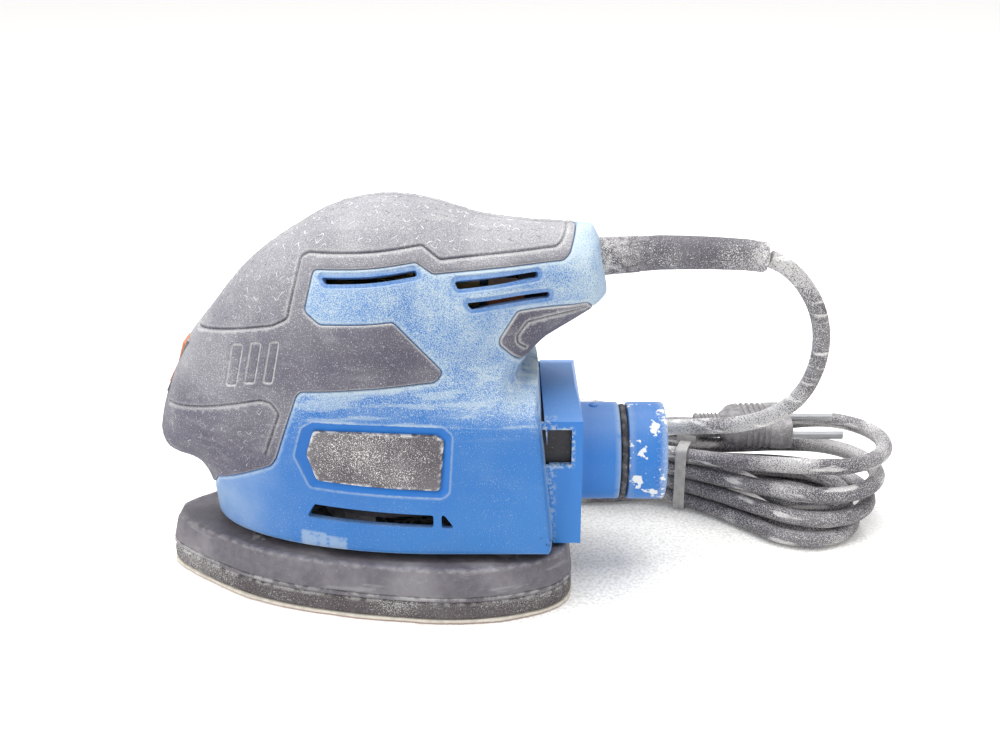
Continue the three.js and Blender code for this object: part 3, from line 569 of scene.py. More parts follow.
WAIST_RISE = (1.4, 1.0, 0.5, 0.0)       # how far the tie lifts each layer
INNER_REACH = -3.0
RUN_STATIONS = (-24, -12, 0, 12, 24, 38)


def hank_to_row(s, t, z, fan=0.0):
    """A place in the hank, along and across it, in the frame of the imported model."""
    a = HANK_LEAN + math.radians(fan) * smooth(s, 4.0, 60.0)
    return (HANK_CENTRE[0] + s * math.cos(a) - t * math.sin(HANK_LEAN),
            HANK_CENTRE[1] + s * math.sin(a) + t * math.cos(HANK_LEAN), z)


def at_waist(s, fold, waist):
    far = RIGHT_FOLD if s > 0 else -LEFT_FOLD
    return waist + (fold - waist) * smooth(abs(s), 2.0, far)


def hank_turn(fold, waist, layer, next_fold, next_layer):
    """One turn: far run, right fold, near run, then the left fold down or up to the next layer."""
    outer = fold > INNER_FOLD
    z, fan = LAYERS[layer], FAN[layer]
    rise, reach = (RISE[layer], REACH[layer]) if outer else (0.0, INNER_REACH)

    def place(s, t):
        lift = WAIST_RISE[layer] * math.exp(-(s / 9.0) ** 2)
        return hank_to_row(s, t, z + lift + rise * float(smooth(s, 2.0, 60.0)), fan)
    pts = [place(s, at_waist(s, fold, waist)) for s in RUN_STATIONS]
    for a in range(90, -91, -30):
        r = math.radians(a)
        pts.append(place(RIGHT_FOLD + reach + fold * math.cos(r), fold * math.sin(r)))
    pts += [place(s, -at_waist(s, fold, waist)) for s in RUN_STATIONS[::-1]]
    for k in range(7):
        r = math.radians(-90 - 30 * k)
        w = k / 6
        radius = fold + (next_fold - fold) * w
        height = z + (LAYERS[next_layer] - z) * smooth(w, 0, 1)
        pts.append(hank_to_row(LEFT_FOLD + radius * math.cos(r), radius * math.sin(r), height))
    return pts


def lead_route():
    route = list(LEAD)
    for k in range(6):
        r = math.radians(-120 - 30 * k)
        height = 28.0 + (LAYERS[3] - 28.0) * (k + 1) / 6
        route.append(hank_to_row(LEFT_FOLD + OUTER_FOLD * math.cos(r), OUTER_FOLD * math.sin(r), height))
    for k in (3, 2, 1):
        route += hank_turn(OUTER_FOLD, OUTER_WAIST, k, OUTER_FOLD, k - 1)
    route += hank_turn(OUTER_FOLD, OUTER_WAIST, 0, INNER_FOLD, 0)
    route += hank_turn(INNER_FOLD, INNER_WAIST, 0, INNER_FOLD, 1)
    route += hank_turn(INNER_FOLD, INNER_WAIST, 1, INNER_FOLD, 1)[:11]
    for s, t, z in ((48, -17, 12.4), (36, -13.5, 14.6), (24, -8, 15.6), (12, -3.5, 15.8), (0, -0.2, 15.8),
                    (-12, 3.8, 15.9), (-24, 10.5, 16.0)):
        route.append(hank_to_row(s, t, z, FAN[1]))
    for k, a in enumerate((90, 120, 150, 180, 210, 240, 265)):
        r = math.radians(a)
        height = 16.2 + 10.6 * smooth(k / 6, 0, 1)
        route.append(hank_to_row(LEFT_FOLD + 1 + LAST_FOLD * math.cos(r), LAST_FOLD * math.sin(r), height))
    route.append(hank_to_row(-25.5, -12.8, 27.6))
    return route + TAIL_END


route = resample(catmull(lead_route(), 10), 2.2)
curve = bpy.data.curves.new("mains_lead", "CURVE")
curve.dimensions = "3D"
curve.bevel_depth = CORD_R * MM
curve.bevel_resolution = 5
curve.use_fill_caps = True
spline = curve.splines.new("POLY")
spline.points.add(len(route) - 1)
for point, place in zip(spline.points, route):
    point.co = (*(place * MM), 1)
spline.use_smooth = True
cord = bpy.data.objects.new("mains_lead", curve)
scene.collection.objects.link(cord)
dress(cord, CORD, "root", "cord_rubber", "cord_lead", "cord_hank", "cord_end")

RELIEF_STATIONS = [                     # X, Z and radius along the strain relief
    (63.7, 111, 7.2), (65.4, 111, 7.2), (65.7, 111, 6.3), (72, 111.3, 6.35), (84, 112.1, 6.1), (84.4, 112.1, 5.85),
    (91, 112.6, 5.8), (100, 112.6, 5.65), (109, 112.4, 5.45), (120, 111.8, 5.25), (126.2, 111, 5.1), (127, 110.9, 4.7)]


def bent_rings(stations, sides):
    """Rings across a line that bends in the body's centre plane."""
    loops = []
    for k, (x, z, r) in enumerate(stations):
        ax, az, _ = stations[max(k - 1, 0)]
        bx, bz, _ = stations[min(k + 1, len(stations) - 1)]
        length = math.hypot(bx - ax, bz - az)
        dx, dz = (bx - ax) / length, (bz - az) / length
        ring = [(r * math.cos(TURN * i / sides), r * math.sin(TURN * i / sides)) for i in range(sides)]
        loops.append([(x - v * dz, u, z + v * dx) for u, v in ring])
    return loops


relief = new_object("strain_relief_sleeve", *loop_loft(bent_rings(RELIEF_STATIONS, 48)), crease=40)
along = places(relief)[:, 0]
colour_mask(relief, np.where(along > 126, 0.6, 0.0) + smooth(along, 92, 72) * 0.45)
dress(relief, RELIEF, "root", "cord_rubber", "strain_relief")


# the plug: a round neck that widens into a flat ribbed grip
def rounded_section(x, ry, rz, sides=48, power=0.6):
    loop = []
    for i in range(sides):
        a = TURN * i / sides
        c, s = math.cos(a), math.sin(a)
        loop.append((PLUG_AT[0] + x, PLUG_AT[1] + ry * math.copysign(abs(c) ** power, c),
                     PLUG_AT[2] + rz * math.copysign(abs(s) ** power, s)))
    return loop


def ribs(count, start, pitch, wide, high, groove, groove_at):
    """Sections of ribs that widen along the plug, with a groove cut after each rib's edge."""
    out = []
    for k in range(count):
        x, w = start + pitch * k, wide + 0.12 * k
        out += [(x, w, high), (x + groove_at, w - 0.6, high - groove),
                (x + 1.1, w - 0.6, high - groove), (x + 1.4, w, high)]
    return out


plug_sections = [(0, 3.7, 3.7), (0.5, 4.2, 4.2), *ribs(6, 1.2, 1.5, 4.5, 4.4, 0.6, 0.35)]
plug_sections += [(11.2, 6.2, 4.9), (12.6, 8.8, 5.6), (14.2, 10.7, 6.1), (16.5, 11.8, 6.3)]
plug_sections += ribs(5, 17.6, 2.2, 12.1, 6.45, 0.55, 0.3)
plug_sections += [(29.6, 12.8, 6.6), (34.8, 12.8, 6.6), (35.7, 12.4, 6.3), (36, 11.8, 5.8)]
plug = new_object("plug_grip", *loop_loft([rounded_section(*s) for s in plug_sections]), crease=38)
colour_mask(plug, 0.25)
dress(plug, PLUG, "root", "plug_plastic", "plug_body")

# ---------------------------------------------------------------- floor and light
FLOOR_HALF, FLOOR_Z = 3.0, -2e-4        # metres; the floor lies just under the sheet
floor_mesh = bpy.data.meshes.new("floor")
corners = ((-1, -1), (1, -1), (1, 1), (-1, 1))
floor_mesh.from_pydata([(x * FLOOR_HALF, y * FLOOR_HALF, FLOOR_Z) for x, y in corners], [], [(0, 1, 2, 3)])
floor = bpy.data.objects.new("floor", floor_mesh)
scene.collection.objects.link(floor)
s = Shader("floor_white")
off_x = s.times(s.calc("SUBTRACT", s.place(0), 0.085), 4.0)
off_y = s.times(s.calc("SUBTRACT", s.place(1), 0.0), 6.0)
from_middle = s.calc("SQRT", s.total(s.calc("POWER", off_x, 2.0), s.calc("POWER", off_y, 2.0)))
# painted shadow: grey grain darkens the floor around the object, mixed with floor grain
near_object = s.ramp(s.total(from_middle, s.calc("SUBTRACT", s.times(s.noise(60, 3), 0.3), 0.15)), 0.55, 0.30)
floor_grain_and_shadow = s.times(s.ramp(s.noise(900, 3), 0.30, 0.75), s.calc("ADD", s.times(near_object, 0.60), 0.04))
s.bsdf.inputs["Emission Color"].default_value = (1, 0.995, 0.98, 1)
s.bsdf.inputs["Emission Strength"].default_value = 0.10
floor_mesh.materials.append(s.finish(s.mix(floor_grain_and_shadow, (0.90, 0.895, 0.880), (0.42, 0.40, 0.36)), 0.85, specular=0.1))


def area_light(name, place, aim, size, power):
    light = bpy.data.lights.new(name, "AREA")
    light.shape = "RECTANGLE"
    light.size, light.size_y = size
    light.energy = power
    obj = bpy.data.objects.new(name, light)
    obj.location = place
    obj.rotation_euler = (Vector(aim) - Vector(place)).to_track_quat("-Z", "Y").to_euler()
    scene.collection.objects.link(obj)


area_light("overhead", (0.0, 0.15, 1.1), (0.02, 0.0, 0.05), (1.3, 1.0), 17)
area_light("window_left", (-1.0, -0.5, 0.7), (0.0, 0.0, 0.07), (0.8, 0.8), 5)
world = bpy.data.worlds.new("studio")
scene.world = world
world.use_nodes = True
world.node_tree.nodes["Background"].inputs[0].default_value = (1.0, 1.0, 1.0, 1)
world.node_tree.nodes["Background"].inputs[1].default_value = 0.95

# ---------------------------------------------------------------- the body's side, as one map
CROWN = catmull([
    (-61, 10), (-62.5, 30), (-64.6, 37), (-67.3, 40.6), (-73.3, 43.1), (-77.2, 46), (-79, 51), (-78.4, 56),
    (-76.2, 64), (-72.1, 75.8), (-66, 86), (-58.9, 94.7), (-52.5, 102.7), (-45.6, 110.1), (-37.5, 116.6),
    (-29.6, 121.7), (-20.5, 127), (-10.9, 130.5), (0, 132), (10, 131.4), (20.6, 128.9), (30, 125.8),
    (37.5, 124.4), (48.9, 123.2), (60, 122.8), (68.5, 122.6)], 5)
TAIL = np.array([(68.5, 122.6), (70.9, 117.9), (73.8, 101.4), (73.9, 98.7)])
UNDER = np.array([(73.9, 98.7), (69.2, 95.3), (63.4, 91.6), (53.8, 85.8), (48, 80.5), (45.6, 76.4)])
REAR = np.array([(45.6, 76.4), (51, 75.2), (57.8, 10)])
SKIRT_Z = 21.5                          # where the body ends, above the base
SEAM_HALF = 0.12                        # half the gap between the two sides at the seam


def round_off(d, r):
    return np.sqrt(np.maximum(1 - (1 - np.clip(d / r, 0, 1)) ** 2, 0))


def half_width(x, z):
    x, z = np.asarray(x, float), np.asarray(z, float)
    upper = 37 - 4 * smooth(x, -5, 22) - 14.5 * smooth(x, 16, 60) - 1.5 * smooth(x, 55, 74)
    lower = 41.2 - 0.05 * (z - 20)
    low = 1 - smooth(z, 63, 86)
    skirt = 1 - smooth(z, 30, 75)
    crown_r = (60 - 16 * smooth(x, -45, 5) - 29 * smooth(x, 10, 50)) * (1 - skirt) + 80 * skirt
    width = upper * (1 - low) + lower * low
    for line, radius in ((CROWN, crown_r), (TAIL, 5), (UNDER, 9), (REAR, 2.5)):
        width = width * round_off(line_distance(line, x, z), radius)
    return width


class SideMap:
    """Unrolls the body's side: a place is its direction from a middle point and its way along the surface."""
    MIDDLE = np.array((10.0, 75.0))
    TURNS, STEPS, TABLE = 900, 110, 260

    def __init__(self):
        outline = np.vstack([CROWN, TAIL[1:], UNDER[1:], REAR[1:]])
        closed = resample(np.vstack([outline, outline[:1]]), 0.35)
        front = (np.interp(SKIRT_Z, CROWN[:12, 1], CROWN[:12, 0]), SKIRT_Z)
        rear = (np.interp(SKIRT_Z, (10, 75.2), (57.8, 51)), SKIRT_Z)
        foot = resample(np.array([rear, front]), 0.35)
        d = np.vstack([[front], closed[closed[:, 1] > SKIRT_Z], foot]) - self.MIDDLE
        angle = np.unwrap(np.arctan2(d[:, 1], d[:, 0]))
        if angle[-1] < angle[0]:
            angle, d = angle[::-1], d[::-1]
        self.rim_angle, self.rim_radius = np.maximum.accumulate(angle), np.hypot(d[:, 0], d[:, 1])
        turn = np.linspace(0, TURN, self.TURNS + 1)
        rho = 1 - (1 - np.linspace(0, 1, self.STEPS + 1)) ** 2
        radius = self.radius(turn)
        x = self.MIDDLE[0] + rho[None] * (radius * np.cos(turn))[:, None]
        z = self.MIDDLE[1] + rho[None] * (radius * np.sin(turn))[:, None]
        step = np.sqrt(np.diff(x) ** 2 + np.diff(half_width(x, z)) ** 2 + np.diff(z) ** 2)
        self.way = np.concatenate([np.zeros((len(turn), 1)), np.cumsum(step, axis=1)], axis=1)
        share = np.linspace(0, 1, self.TABLE + 1)
        grid = np.arange(self.STEPS + 1.0)
        self.back = np.array([np.interp(share * w[-1], w, grid) for w in self.way])

    def radius(self, angle):
        a = np.mod(np.asarray(angle) - self.rim_angle[0], TURN) + self.rim_angle[0]
        return np.interp(a, self.rim_angle, self.rim_radius)

    def rim(self, angles):
        r = self.radius(angles)
        return self.MIDDLE + np.column_stack([r * np.cos(angles), r * np.sin(angles)])

    @staticmethod
    def lookup(table, row, column):
        row = np.clip(row, 0, table.shape[0] - 1.001)
        column = np.clip(column, 0, table.shape[1] - 1.001)
        r, c = row.astype(int), column.astype(int)
        fr, fc = row - r, column - c
        return ((table[r, c] * (1 - fr) + table[r + 1, c] * fr) * (1 - fc)
                + (table[r, c + 1] * (1 - fr) + table[r + 1, c + 1] * fr) * fc)

    @staticmethod
    def heading(d):
        return np.mod(np.arctan2(d[:, 1], d[:, 0]), TURN)

    def full_way(self, uv):
        """The whole way from the middle to the rim, in the direction of each point of the map."""
        row = self.heading(uv) / TURN * self.TURNS
        return self.lookup(self.way, row, np.full(len(uv), float(self.STEPS)))

    def rho(self, xz):
        """How far out a place is: 0 at the middle, 1 on the rim."""
        d = np.asarray(xz, float) - self.MIDDLE
        return np.hypot(d[:, 0], d[:, 1]) / self.radius(np.arctan2(d[:, 1], d[:, 0]))

    def unroll(self, xz):
        d = np.asarray(xz, float) - self.MIDDLE
        angle = self.heading(d)
        rho = np.hypot(d[:, 0], d[:, 1]) / self.radius(angle)
        k = (1 - np.sqrt(np.clip(1 - rho, 0, 1))) * self.STEPS
        way = self.lookup(self.way, angle / TURN * self.TURNS, k)
        return np.column_stack([way * np.cos(angle), way * np.sin(angle)])

    def roll(self, uv):
        angle = self.heading(uv)
        share = np.clip(np.hypot(uv[:, 0], uv[:, 1]) / self.full_way(uv), 0, 1)
        k = self.lookup(self.back, angle / TURN * self.TURNS, share * self.TABLE)
        r = np.where(share > 0.99999, 1.0, 1 - (1 - k / self.STEPS) ** 2) * self.radius(angle)
        return np.column_stack([self.MIDDLE[0] + r * np.cos(angle), self.MIDDLE[1] + r * np.sin(angle)])


side_map = SideMap()

GRIP_OUTLINE = filleted([
    (-90, 29.8), (-63, 29.8), (-58.6, 38.1), (-37, 49.5), (-35, 52.5), (-27, 75), (-25.5, 76.6), (17.4, 79.3),
    (19.9, 82), (4.6, 99.2), (-18.8, 97.6), (-24.1, 101.1), (-21.3, 113.5), (11.6, 116.4), (17, 112.8),
    (58.4, 114.6), (60.4, 116.4), (64, 126), (64, 145), (-90, 145)], 2.2)
FINGER_OUTLINE = filleted([
    (38.2, 91), (43.8, 99.2), (66.6, 100), (69.5, 95), (52, 80), (45.2, 81.5), (38, 88.9)], 1.6)
PLATE_OUTLINE = filleted([(-21.8, 64.1), (18, 62.5), (20.2, 60.5), (18.6, 43.3), (-22, 45.4), (-24.8, 55)], 1.8)
RECESS = filleted([
    (-21.8, 67.2), (20, 65.4), (22.8, 62.8), (21.6, 43), (19.2, 41.2), (-24, 43.2), (-28.4, 54.6), (-25.4, 65)], 2.0)
VENTS = [filleted(v, 0.8, steps=3) for v in (
    [(-18.7, 111.5), (11.7, 114.2), (12.3, 112.4), (-17.3, 109.7)],
    [(23.5, 110.5), (50.4, 111.7), (50.5, 109.6), (24.8, 108.1)],
    [(27.3, 103.9), (54.1, 104.6), (54.1, 102.6), (29.2, 101.7)],
    [(-25.7, 32), (-22.8, 37.1), (16.4, 35.4), (16.4, 31)],
    [(19, 35.4), (20, 35.3), (23.4, 30.7), (19, 30.9)])]
TEXTURE_LINE = filleted([
    (-62.5, 89.1), (-34.6, 95.6), (-29.5, 98.3), (-25.5, 116.2), (-22.9, 117.6), (13.4, 120.7), (19.1, 116.5),
    (56, 118.2), (58, 119.5), (59.9, 122.9)], 1.8, closed=False)
NOSE_LINE = filleted([(-73.4, 63.9), (-38.8, 72.5), (-35.4, 72.1), (-32.5, 68.8), (-38, 54.5)], 1.5, closed=False)
FINGER_LINE = filleted([(66, 98.3), (47, 95.3), (43.5, 91), (43.8, 88.6), (46.5, 86.1)], 1.2, closed=False)
SLOTS = [filleted(v, 0.7, steps=3) for v in (
    [(-48.7, 88), (-44.7, 88.7), (-47.1, 76.2), (-50.6, 75.7)],
    [(-41.9, 89.5), (-38.4, 90), (-40.8, 77.6), (-44.3, 77.1)],
    [(-35.3, 90.7), (-32.2, 91.2), (-34.7, 78.3), (-37.8, 78)])]
NOTCHES = [np.array(v, float) for v in (
    [(-28, 27), (-19.2, 26.4), (-19.2, 20), (-28, 20)], [(-18.4, 26.2), (-12.6, 25.9), (-12.6, 20), (-18.4, 20)])]
SCREWS = [(-50, 28), (-46, 99), (-30, 114), (20, 119), (59.6, 104), (38, 72)]
SCREW_HOLE_R = 3.4
SWITCH_AT = np.array((-69.9, 74.9))
SWITCH_LEAN = math.radians(25)
SWITCH_HALF = (10.3, 8.3)
GRID = 0.95                             # spacing of the net's free points
FINE, COARSE = 0.55, 0.8                # and of its points along an outline


def switch_outline():
    """Where the nose is cut for the switch, up to the body's centre plane."""
    lengthwise = np.array((math.sin(SWITCH_LEAN), math.cos(SWITCH_LEAN)))
    inward = np.array((math.cos(SWITCH_LEAN), -math.sin(SWITCH_LEAN)))
    edge = []
    for along in np.linspace(-SWITCH_HALF[0], SWITCH_HALF[0], 24):
        p = SWITCH_AT + along * lengthwise + np.linspace(-12, 14, 1300)[:, None] * inward
        wide_enough = (side_map.rho(p) < 1) & (half_width(p[:, 0], p[:, 1]) > SWITCH_HALF[1])
        edge.append(p[np.argmax(wide_enough)])
    return np.array(edge + [edge[-1] - 14 * inward, edge[0] - 14 * inward])


SWITCH_OUTLINE = switch_outline()

def spans_inside(line, closed):
    """The stretches of a line that lie on the side, each with flags for ends on the rim."""
    fine = resample(np.vstack([line, line[:1]]) if closed else line, 0.08)
    ok = side_map.rho(fine) < 1
    if ok.all():
        return [(fine, False, False)]
    if closed:
        shift = int(np.argmin(ok))
        fine, ok = np.roll(fine[:-1], -shift, axis=0), np.roll(ok[:-1], -shift)
    out, start = [], None
    for i, flag in enumerate(ok):
        if flag and start is None:
            start = i
        if start is not None and (not flag or i == len(ok) - 1):
            stop = i if not flag else i + 1
            if stop - start > 4:
                out.append((fine[start:stop], start > 0 or closed, stop < len(ok) or closed))
            start = None
    return out


def net_lines(screws):
    """The outlines that the net keeps as edges: line, closed or not, spacing, and the rows of points beside it."""
    step, groove = (-0.8, -0.4, -0.15, 0.15, 0.4, 0.9), (-0.7, -0.35, 0.35, 0.7)
    return [
        (GRIP_OUTLINE, True, COARSE, step), (FINGER_OUTLINE, True, COARSE, step),
        (PLATE_OUTLINE, True, COARSE, (-0.3, 0.15, 0.45)), (RECESS, True, COARSE, (-0.3, 0.25, 0.8)),
        (SWITCH_OUTLINE, True, COARSE, ()),
        *[(v, True, FINE, (-1.5, 1.5, -1.1, 1.1)) for v in VENTS],
        *[(v, True, FINE, (-0.5, -0.25, 0.25, 0.5)) for v in SLOTS],
        *[(circle(c, SCREW_HOLE_R), True, FINE, ()) for c in screws],
        (TEXTURE_LINE, False, COARSE, groove), (NOSE_LINE, False, COARSE, groove),
        (FINGER_LINE, False, COARSE, (-0.6, -0.3, 0.3, 0.6))]


def hex_grid(half, pitch, row_pitch):
    """Staggered rows of points over a square around the middle of the map."""
    return np.array([(u + (pitch / 2 if j % 2 else 0), v) for j, v in enumerate(np.arange(-half, half, row_pitch))
                     for u in np.arange(-half, half, pitch)])


def thinned(points, others, gap):
    """The points that lie farther than the gap from all the others."""
    tree = KDTree(len(others))
    for i, p in enumerate(others):
        tree.insert((p[0], p[1], 0), i)
    tree.balance()
    return points[np.array([tree.find((p[0], p[1], 0))[2] > gap for p in points])]


def build_side_net(screws):
    """A triangle net of the body's side that keeps every outline as an edge. Returns (x, z) and triangles."""
    xz, edges, rim_marks, rows = [], [], [], []
    for line, closed, spacing, offsets in net_lines(screws):
        for span, head, tail in spans_inside(line, closed):
            run = run_along(side_map.unroll(span))
            pts = at_ways(span, run, np.linspace(0, run[-1], max(4, int(run[-1] / spacing)) + 1))
            loop = closed and not head and not tail
            if loop:
                pts = pts[:-1]
            base, last = len(xz), len(pts) - 1
            rim_marks += [(base, pts[0])] * head + [(base + last, pts[-1])] * tail
            xz.extend(pts)
            edges.extend((base + i, base + i + 1) for i in range(last))
            ahead = np.roll(pts, -1, axis=0) - np.roll(pts, 1, axis=0)
            if loop:
                edges.append((base + last, base))
            else:
                ahead[0], ahead[-1] = pts[1] - pts[0], pts[-1] - pts[-2]
            ahead = unit(ahead)
            rows += [pts + np.column_stack([-ahead[:, 1], ahead[:, 0]]) * off for off in offsets]
    # the rim, with the places where outlines end on it
    marks = [math.atan2(*(p - side_map.MIDDLE)[::-1]) % TURN for _, p in rim_marks]
    turn = np.linspace(0, TURN, 6001)[:-1]
    run = run_along(side_map.unroll(side_map.rim(turn)))
    angles = [a for a in np.interp(np.arange(0, run[-1], COARSE), run, turn)
              if all(abs((a - m + math.pi) % TURN - math.pi) > 0.004 for m in marks)]
    angles = sorted(set(angles + marks))
    base = len(xz)
    xz = np.vstack([np.array(xz), side_map.rim(np.array(angles))])
    edges.extend((base + i, base + (i + 1) % len(angles)) for i in range(len(angles)))
    edges.extend((index, base + angles.index(mark)) for (index, _), mark in zip(rim_marks, marks))
    fixed = side_map.unroll(xz)
    # free points: rows beside the outlines, then a staggered grid
    rows = np.vstack(rows)
    rows = thinned(side_map.unroll(rows[side_map.rho(rows) < 0.9995]), fixed, 0.11)
    grid = hex_grid(np.abs(fixed).max() + 2, GRID, GRID * 0.866)
    grid = grid[np.hypot(grid[:, 0], grid[:, 1]) < side_map.full_way(grid) - 0.45]
    every = np.vstack([fixed, rows, thinned(grid, np.vstack([fixed, rows]), GRID * 0.5)])
    verts, _, faces, origin, _, _ = delaunay_2d_cdt([Vector(p) for p in every.tolist()], edges, [], 0, 1e-6)
    flat = np.array([tuple(v) for v in verts])
    place = side_map.roll(flat)
    for i, source in enumerate(origin):
        low = [k for k in source if k < len(xz)]
        if low:
            place[i] = xz[low[-1]]
    tri = np.array([f for f in faces if len(f) == 3])
    # drop triangles outside the rim and slivers, and turn the rest the same way round
    mid = flat[tri].mean(axis=1)
    within = np.hypot(mid[:, 0], mid[:, 1]) < side_map.full_way(mid)
    tri = tri[within & (side_map.rho(place[tri].mean(axis=1)) < 0.99999)]
    a, b, c = flat[tri[:, 0]], flat[tri[:, 1]], flat[tri[:, 2]]
    area = (b[:, 0] - a[:, 0]) * (c[:, 1] - a[:, 1]) - (b[:, 1] - a[:, 1]) * (c[:, 0] - a[:, 0])
    tri = np.where((area < 0)[:, None], tri[:, [0, 2, 1]], tri)
    return place, tri[np.abs(area) > 1e-5]


def net_normals(pos, tri):
    a, b, c = pos[tri[:, 0]], pos[tri[:, 1]], pos[tri[:, 2]]
    out = np.zeros_like(pos)
    for k in range(3):
        np.add.at(out, tri[:, k], np.cross(b - a, c - a))
    return unit(out)


def lip(d, radius, depth):
    """How far an edge is rounded down at a distance d from it."""
    t = np.clip(1 - d / radius, 0, 1)
    return depth * (1 - np.sqrt(np.maximum(1 - t * t, 0)))


def groove(d, half, depth):
    """How deep a groove is at a distance d from its line."""
    return depth * np.maximum(1 - (d / half) ** 2, 0)


def take(pos, normal, tri, chosen, inset, name, side, thickness, masks):
    """A piece from some of the net's triangles, set in by an amount per vertex and given a thickness."""
    used = np.unique(tri[chosen])
    index = np.full(len(pos), -1)
    index[used] = np.arange(len(used))
    faces = index[tri[chosen]]
    n = len(used)
    outer = pos[used] - normal[used] * inset[used][:, None]
    inner = outer - normal[used] * thickness
    inner[:, 1] = np.minimum(inner[:, 1], -SEAM_HALF)
    directed = {(int(f[i]), int(f[(i + 1) % 3])) for f in faces for i in range(3)}
    walls = [[b, a, a + n, b + n] for a, b in directed if (b, a) not in directed]
    every = faces.tolist() + (faces[:, ::-1] + n).tolist() + walls
    verts = np.vstack([outer, inner])
    if side == "right":
        verts = verts * (1, -1, 1)
        every = [f[::-1] for f in every]
    obj = new_object(name, verts, every, crease=38)
    colour_mask(obj, *[np.tile(np.clip(np.broadcast_to(m, len(pos))[used], 0, 1), 2) for m in masks])
    return obj


def build_side(side):
    """Shell, grip, finger pad and plate of one side, cut from one net."""
    screws = SCREWS if side == "right" else []
    place, tri = build_side_net(screws)
    x, z = place[:, 0], place[:, 1]
    foot = z < SKIRT_Z + 0.02
    width = np.where((side_map.rho(place) > 0.99995) & ~foot, 0.0, half_width(x, z))
    pos = np.column_stack([x, -np.maximum(width, SEAM_HALF), z])
    normal = net_normals(pos, tri)
    normal[width < SEAM_HALF + 0.01, 1] = 0
    normal[foot, 2] = 0
    normal = unit(normal)
    mx, mz = place[tri].mean(axis=1).T

    def piece(chosen, inset, thickness, names, material, slot, *masks):
        obj = take(pos, normal, tri, chosen, inset, f"{names[0]}_{side}", side, thickness, masks)
        dress(obj, material, "root", slot, f"{names[1]}_{side}")

    d_grip, d_finger, d_plate, d_recess = (
        signed(line, x, z) for line in (GRIP_OUTLINE, FINGER_OUTLINE, PLATE_OUTLINE, RECESS))
    d_texture, d_nose, d_inner = (line_distance(line, x, z) for line in (TEXTURE_LINE, NOSE_LINE, FINGER_LINE))
    d_vent = np.max([signed(v, x, z) for v in VENTS[:3]], axis=0)
    d_slot = np.min([line_distance(v, x, z, closed=True) for v in SLOTS], axis=0)
    in_slot = np.max([signed(v, x, z) for v in SLOTS], axis=0)
    in_notch = np.any([inside(v, x, z) for v in NOTCHES], axis=0)
    in_grip, in_finger = inside(GRIP_OUTLINE, mx, mz), inside(FINGER_OUTLINE, mx, mz)
    vent = np.any([inside(v, mx, mz) for v in VENTS], axis=0)
    cut = inside(SWITCH_OUTLINE, mx, mz)
    for c in screws:
        cut |= np.hypot(mx - c[0], mz - c[1]) < SCREW_HOLE_R * 0.995

    d_soft = np.maximum(d_grip, d_finger)
    inset = lip(-d_soft, 1.0, 0.9)
    inset += np.where(d_recess > 0, 0.25 * smooth(d_recess, 0, 0.25) + 1.45 * np.clip(d_recess / 2.6, 0, 1), 0)
    inset += 0.45 * (1 - smooth(-d_vent, 1.1, 1.5))
    inset += lip(z - SKIRT_Z, 0.5, 0.4) * (width > 1)
    clean = np.where((d_recess > 0.0) & (d_plate < 0.4), 1.0, 0.0) + np.where(-d_vent < 1.5, 0.55, 0.0)
    wear = (0.55 * near(d_recess + 0.1, 0.24) + 0.55 * near(-d_soft - 0.9, 0.35) + 0.45 * near(-d_vent - 1.5, 0.30)
            + 0.35 * near(z - SKIRT_Z, 0.4) + 0.55 * in_notch)
    wear += 0.7 * near(line_distance(REAR[1:], x, z) - 0.8, 0.45)
    # green: painted shade along the shell's groove at the rubber's border
    piece(~in_grip & ~in_finger & ~vent & ~cut, inset, 2.4, ("shell", "housing"), BLUE, "blue_shell",
          wear, near(-d_soft, 0.45) * 0.9, clean)

    grooves = groove(d_texture, 0.48, 0.6) + groove(d_nose, 0.48, 0.6)
    slots = groove(d_slot, 0.42, 0.40) + np.where(in_slot > 0, 0.22, 0)
    wear = (0.60 * near(d_grip - 0.15, 0.22) + 1.0 * near(d_slot, 0.24)
            + 0.40 * near(d_texture - 0.7, 0.20) + 0.25 * near(d_nose - 0.7, 0.20))
    # painted shade in the grooves and slots
    dark = near(d_texture, 0.26) + near(d_nose, 0.26) + 0.2 * (in_slot > 0.3)
    piece(in_grip & ~cut, -0.25 + lip(d_grip, 0.7, 0.75) + grooves + slots, 1.45, ("overmould", "grip"), GRIP,
          "grip_rubber", wear, dark, 0.0)

    # green on the finger pad: painted shade in its groove
    wear = 0.85 * near(d_finger - 0.2, 0.3) + 0.6 * near(d_inner - 0.55, 0.3)
    piece(in_finger & ~cut, -0.2 + lip(d_finger, 0.7, 0.7) + groove(d_inner, 0.5, 0.55), 1.4,
          ("finger_rest", "finger_pad"), GRIP, "grip_rubber", wear, near(d_inner, 0.3), 0.0)

    piece(inside(PLATE_OUTLINE, mx, mz), 0.80 + lip(d_plate, 0.5, 0.5), 0.8, ("blank_plate", "side_plate"), PLATE,
          "dark_plastic", 0.9 * near(d_plate - 0.15, 0.28), 0.0, 0.0)


def surface_frame(uv, h=0.25):
    """Place, outward normal and two tangents on the near side at points of the map."""
    def at(points):
        x, z = side_map.roll(points).T
        return np.column_stack([x, -np.maximum(half_width(x, z), SEAM_HALF), z])
    p = at(uv)
    du, dv = unit(at(uv + (h, 0)) - p), unit(at(uv + (0, h)) - p)
    n = unit(np.cross(du, dv))
    return p, n, du, np.cross(n, du)


TICK_PITCH = 4.0
TICK_TURNS = (0.5, 0.5, 0.5, 0.0, 1.0, 1.5)     # directions of a pair, in half turns
TEXTURE_ZONE = np.vstack([TEXTURE_LINE, [(64, 123), (64, 145), (-90, 145), (-90, 86)]])
NOSE_ZONE = np.vstack([NOSE_LINE, [(-41, 47.5), (-60, 37), (-90, 37), (-90, 60)]])


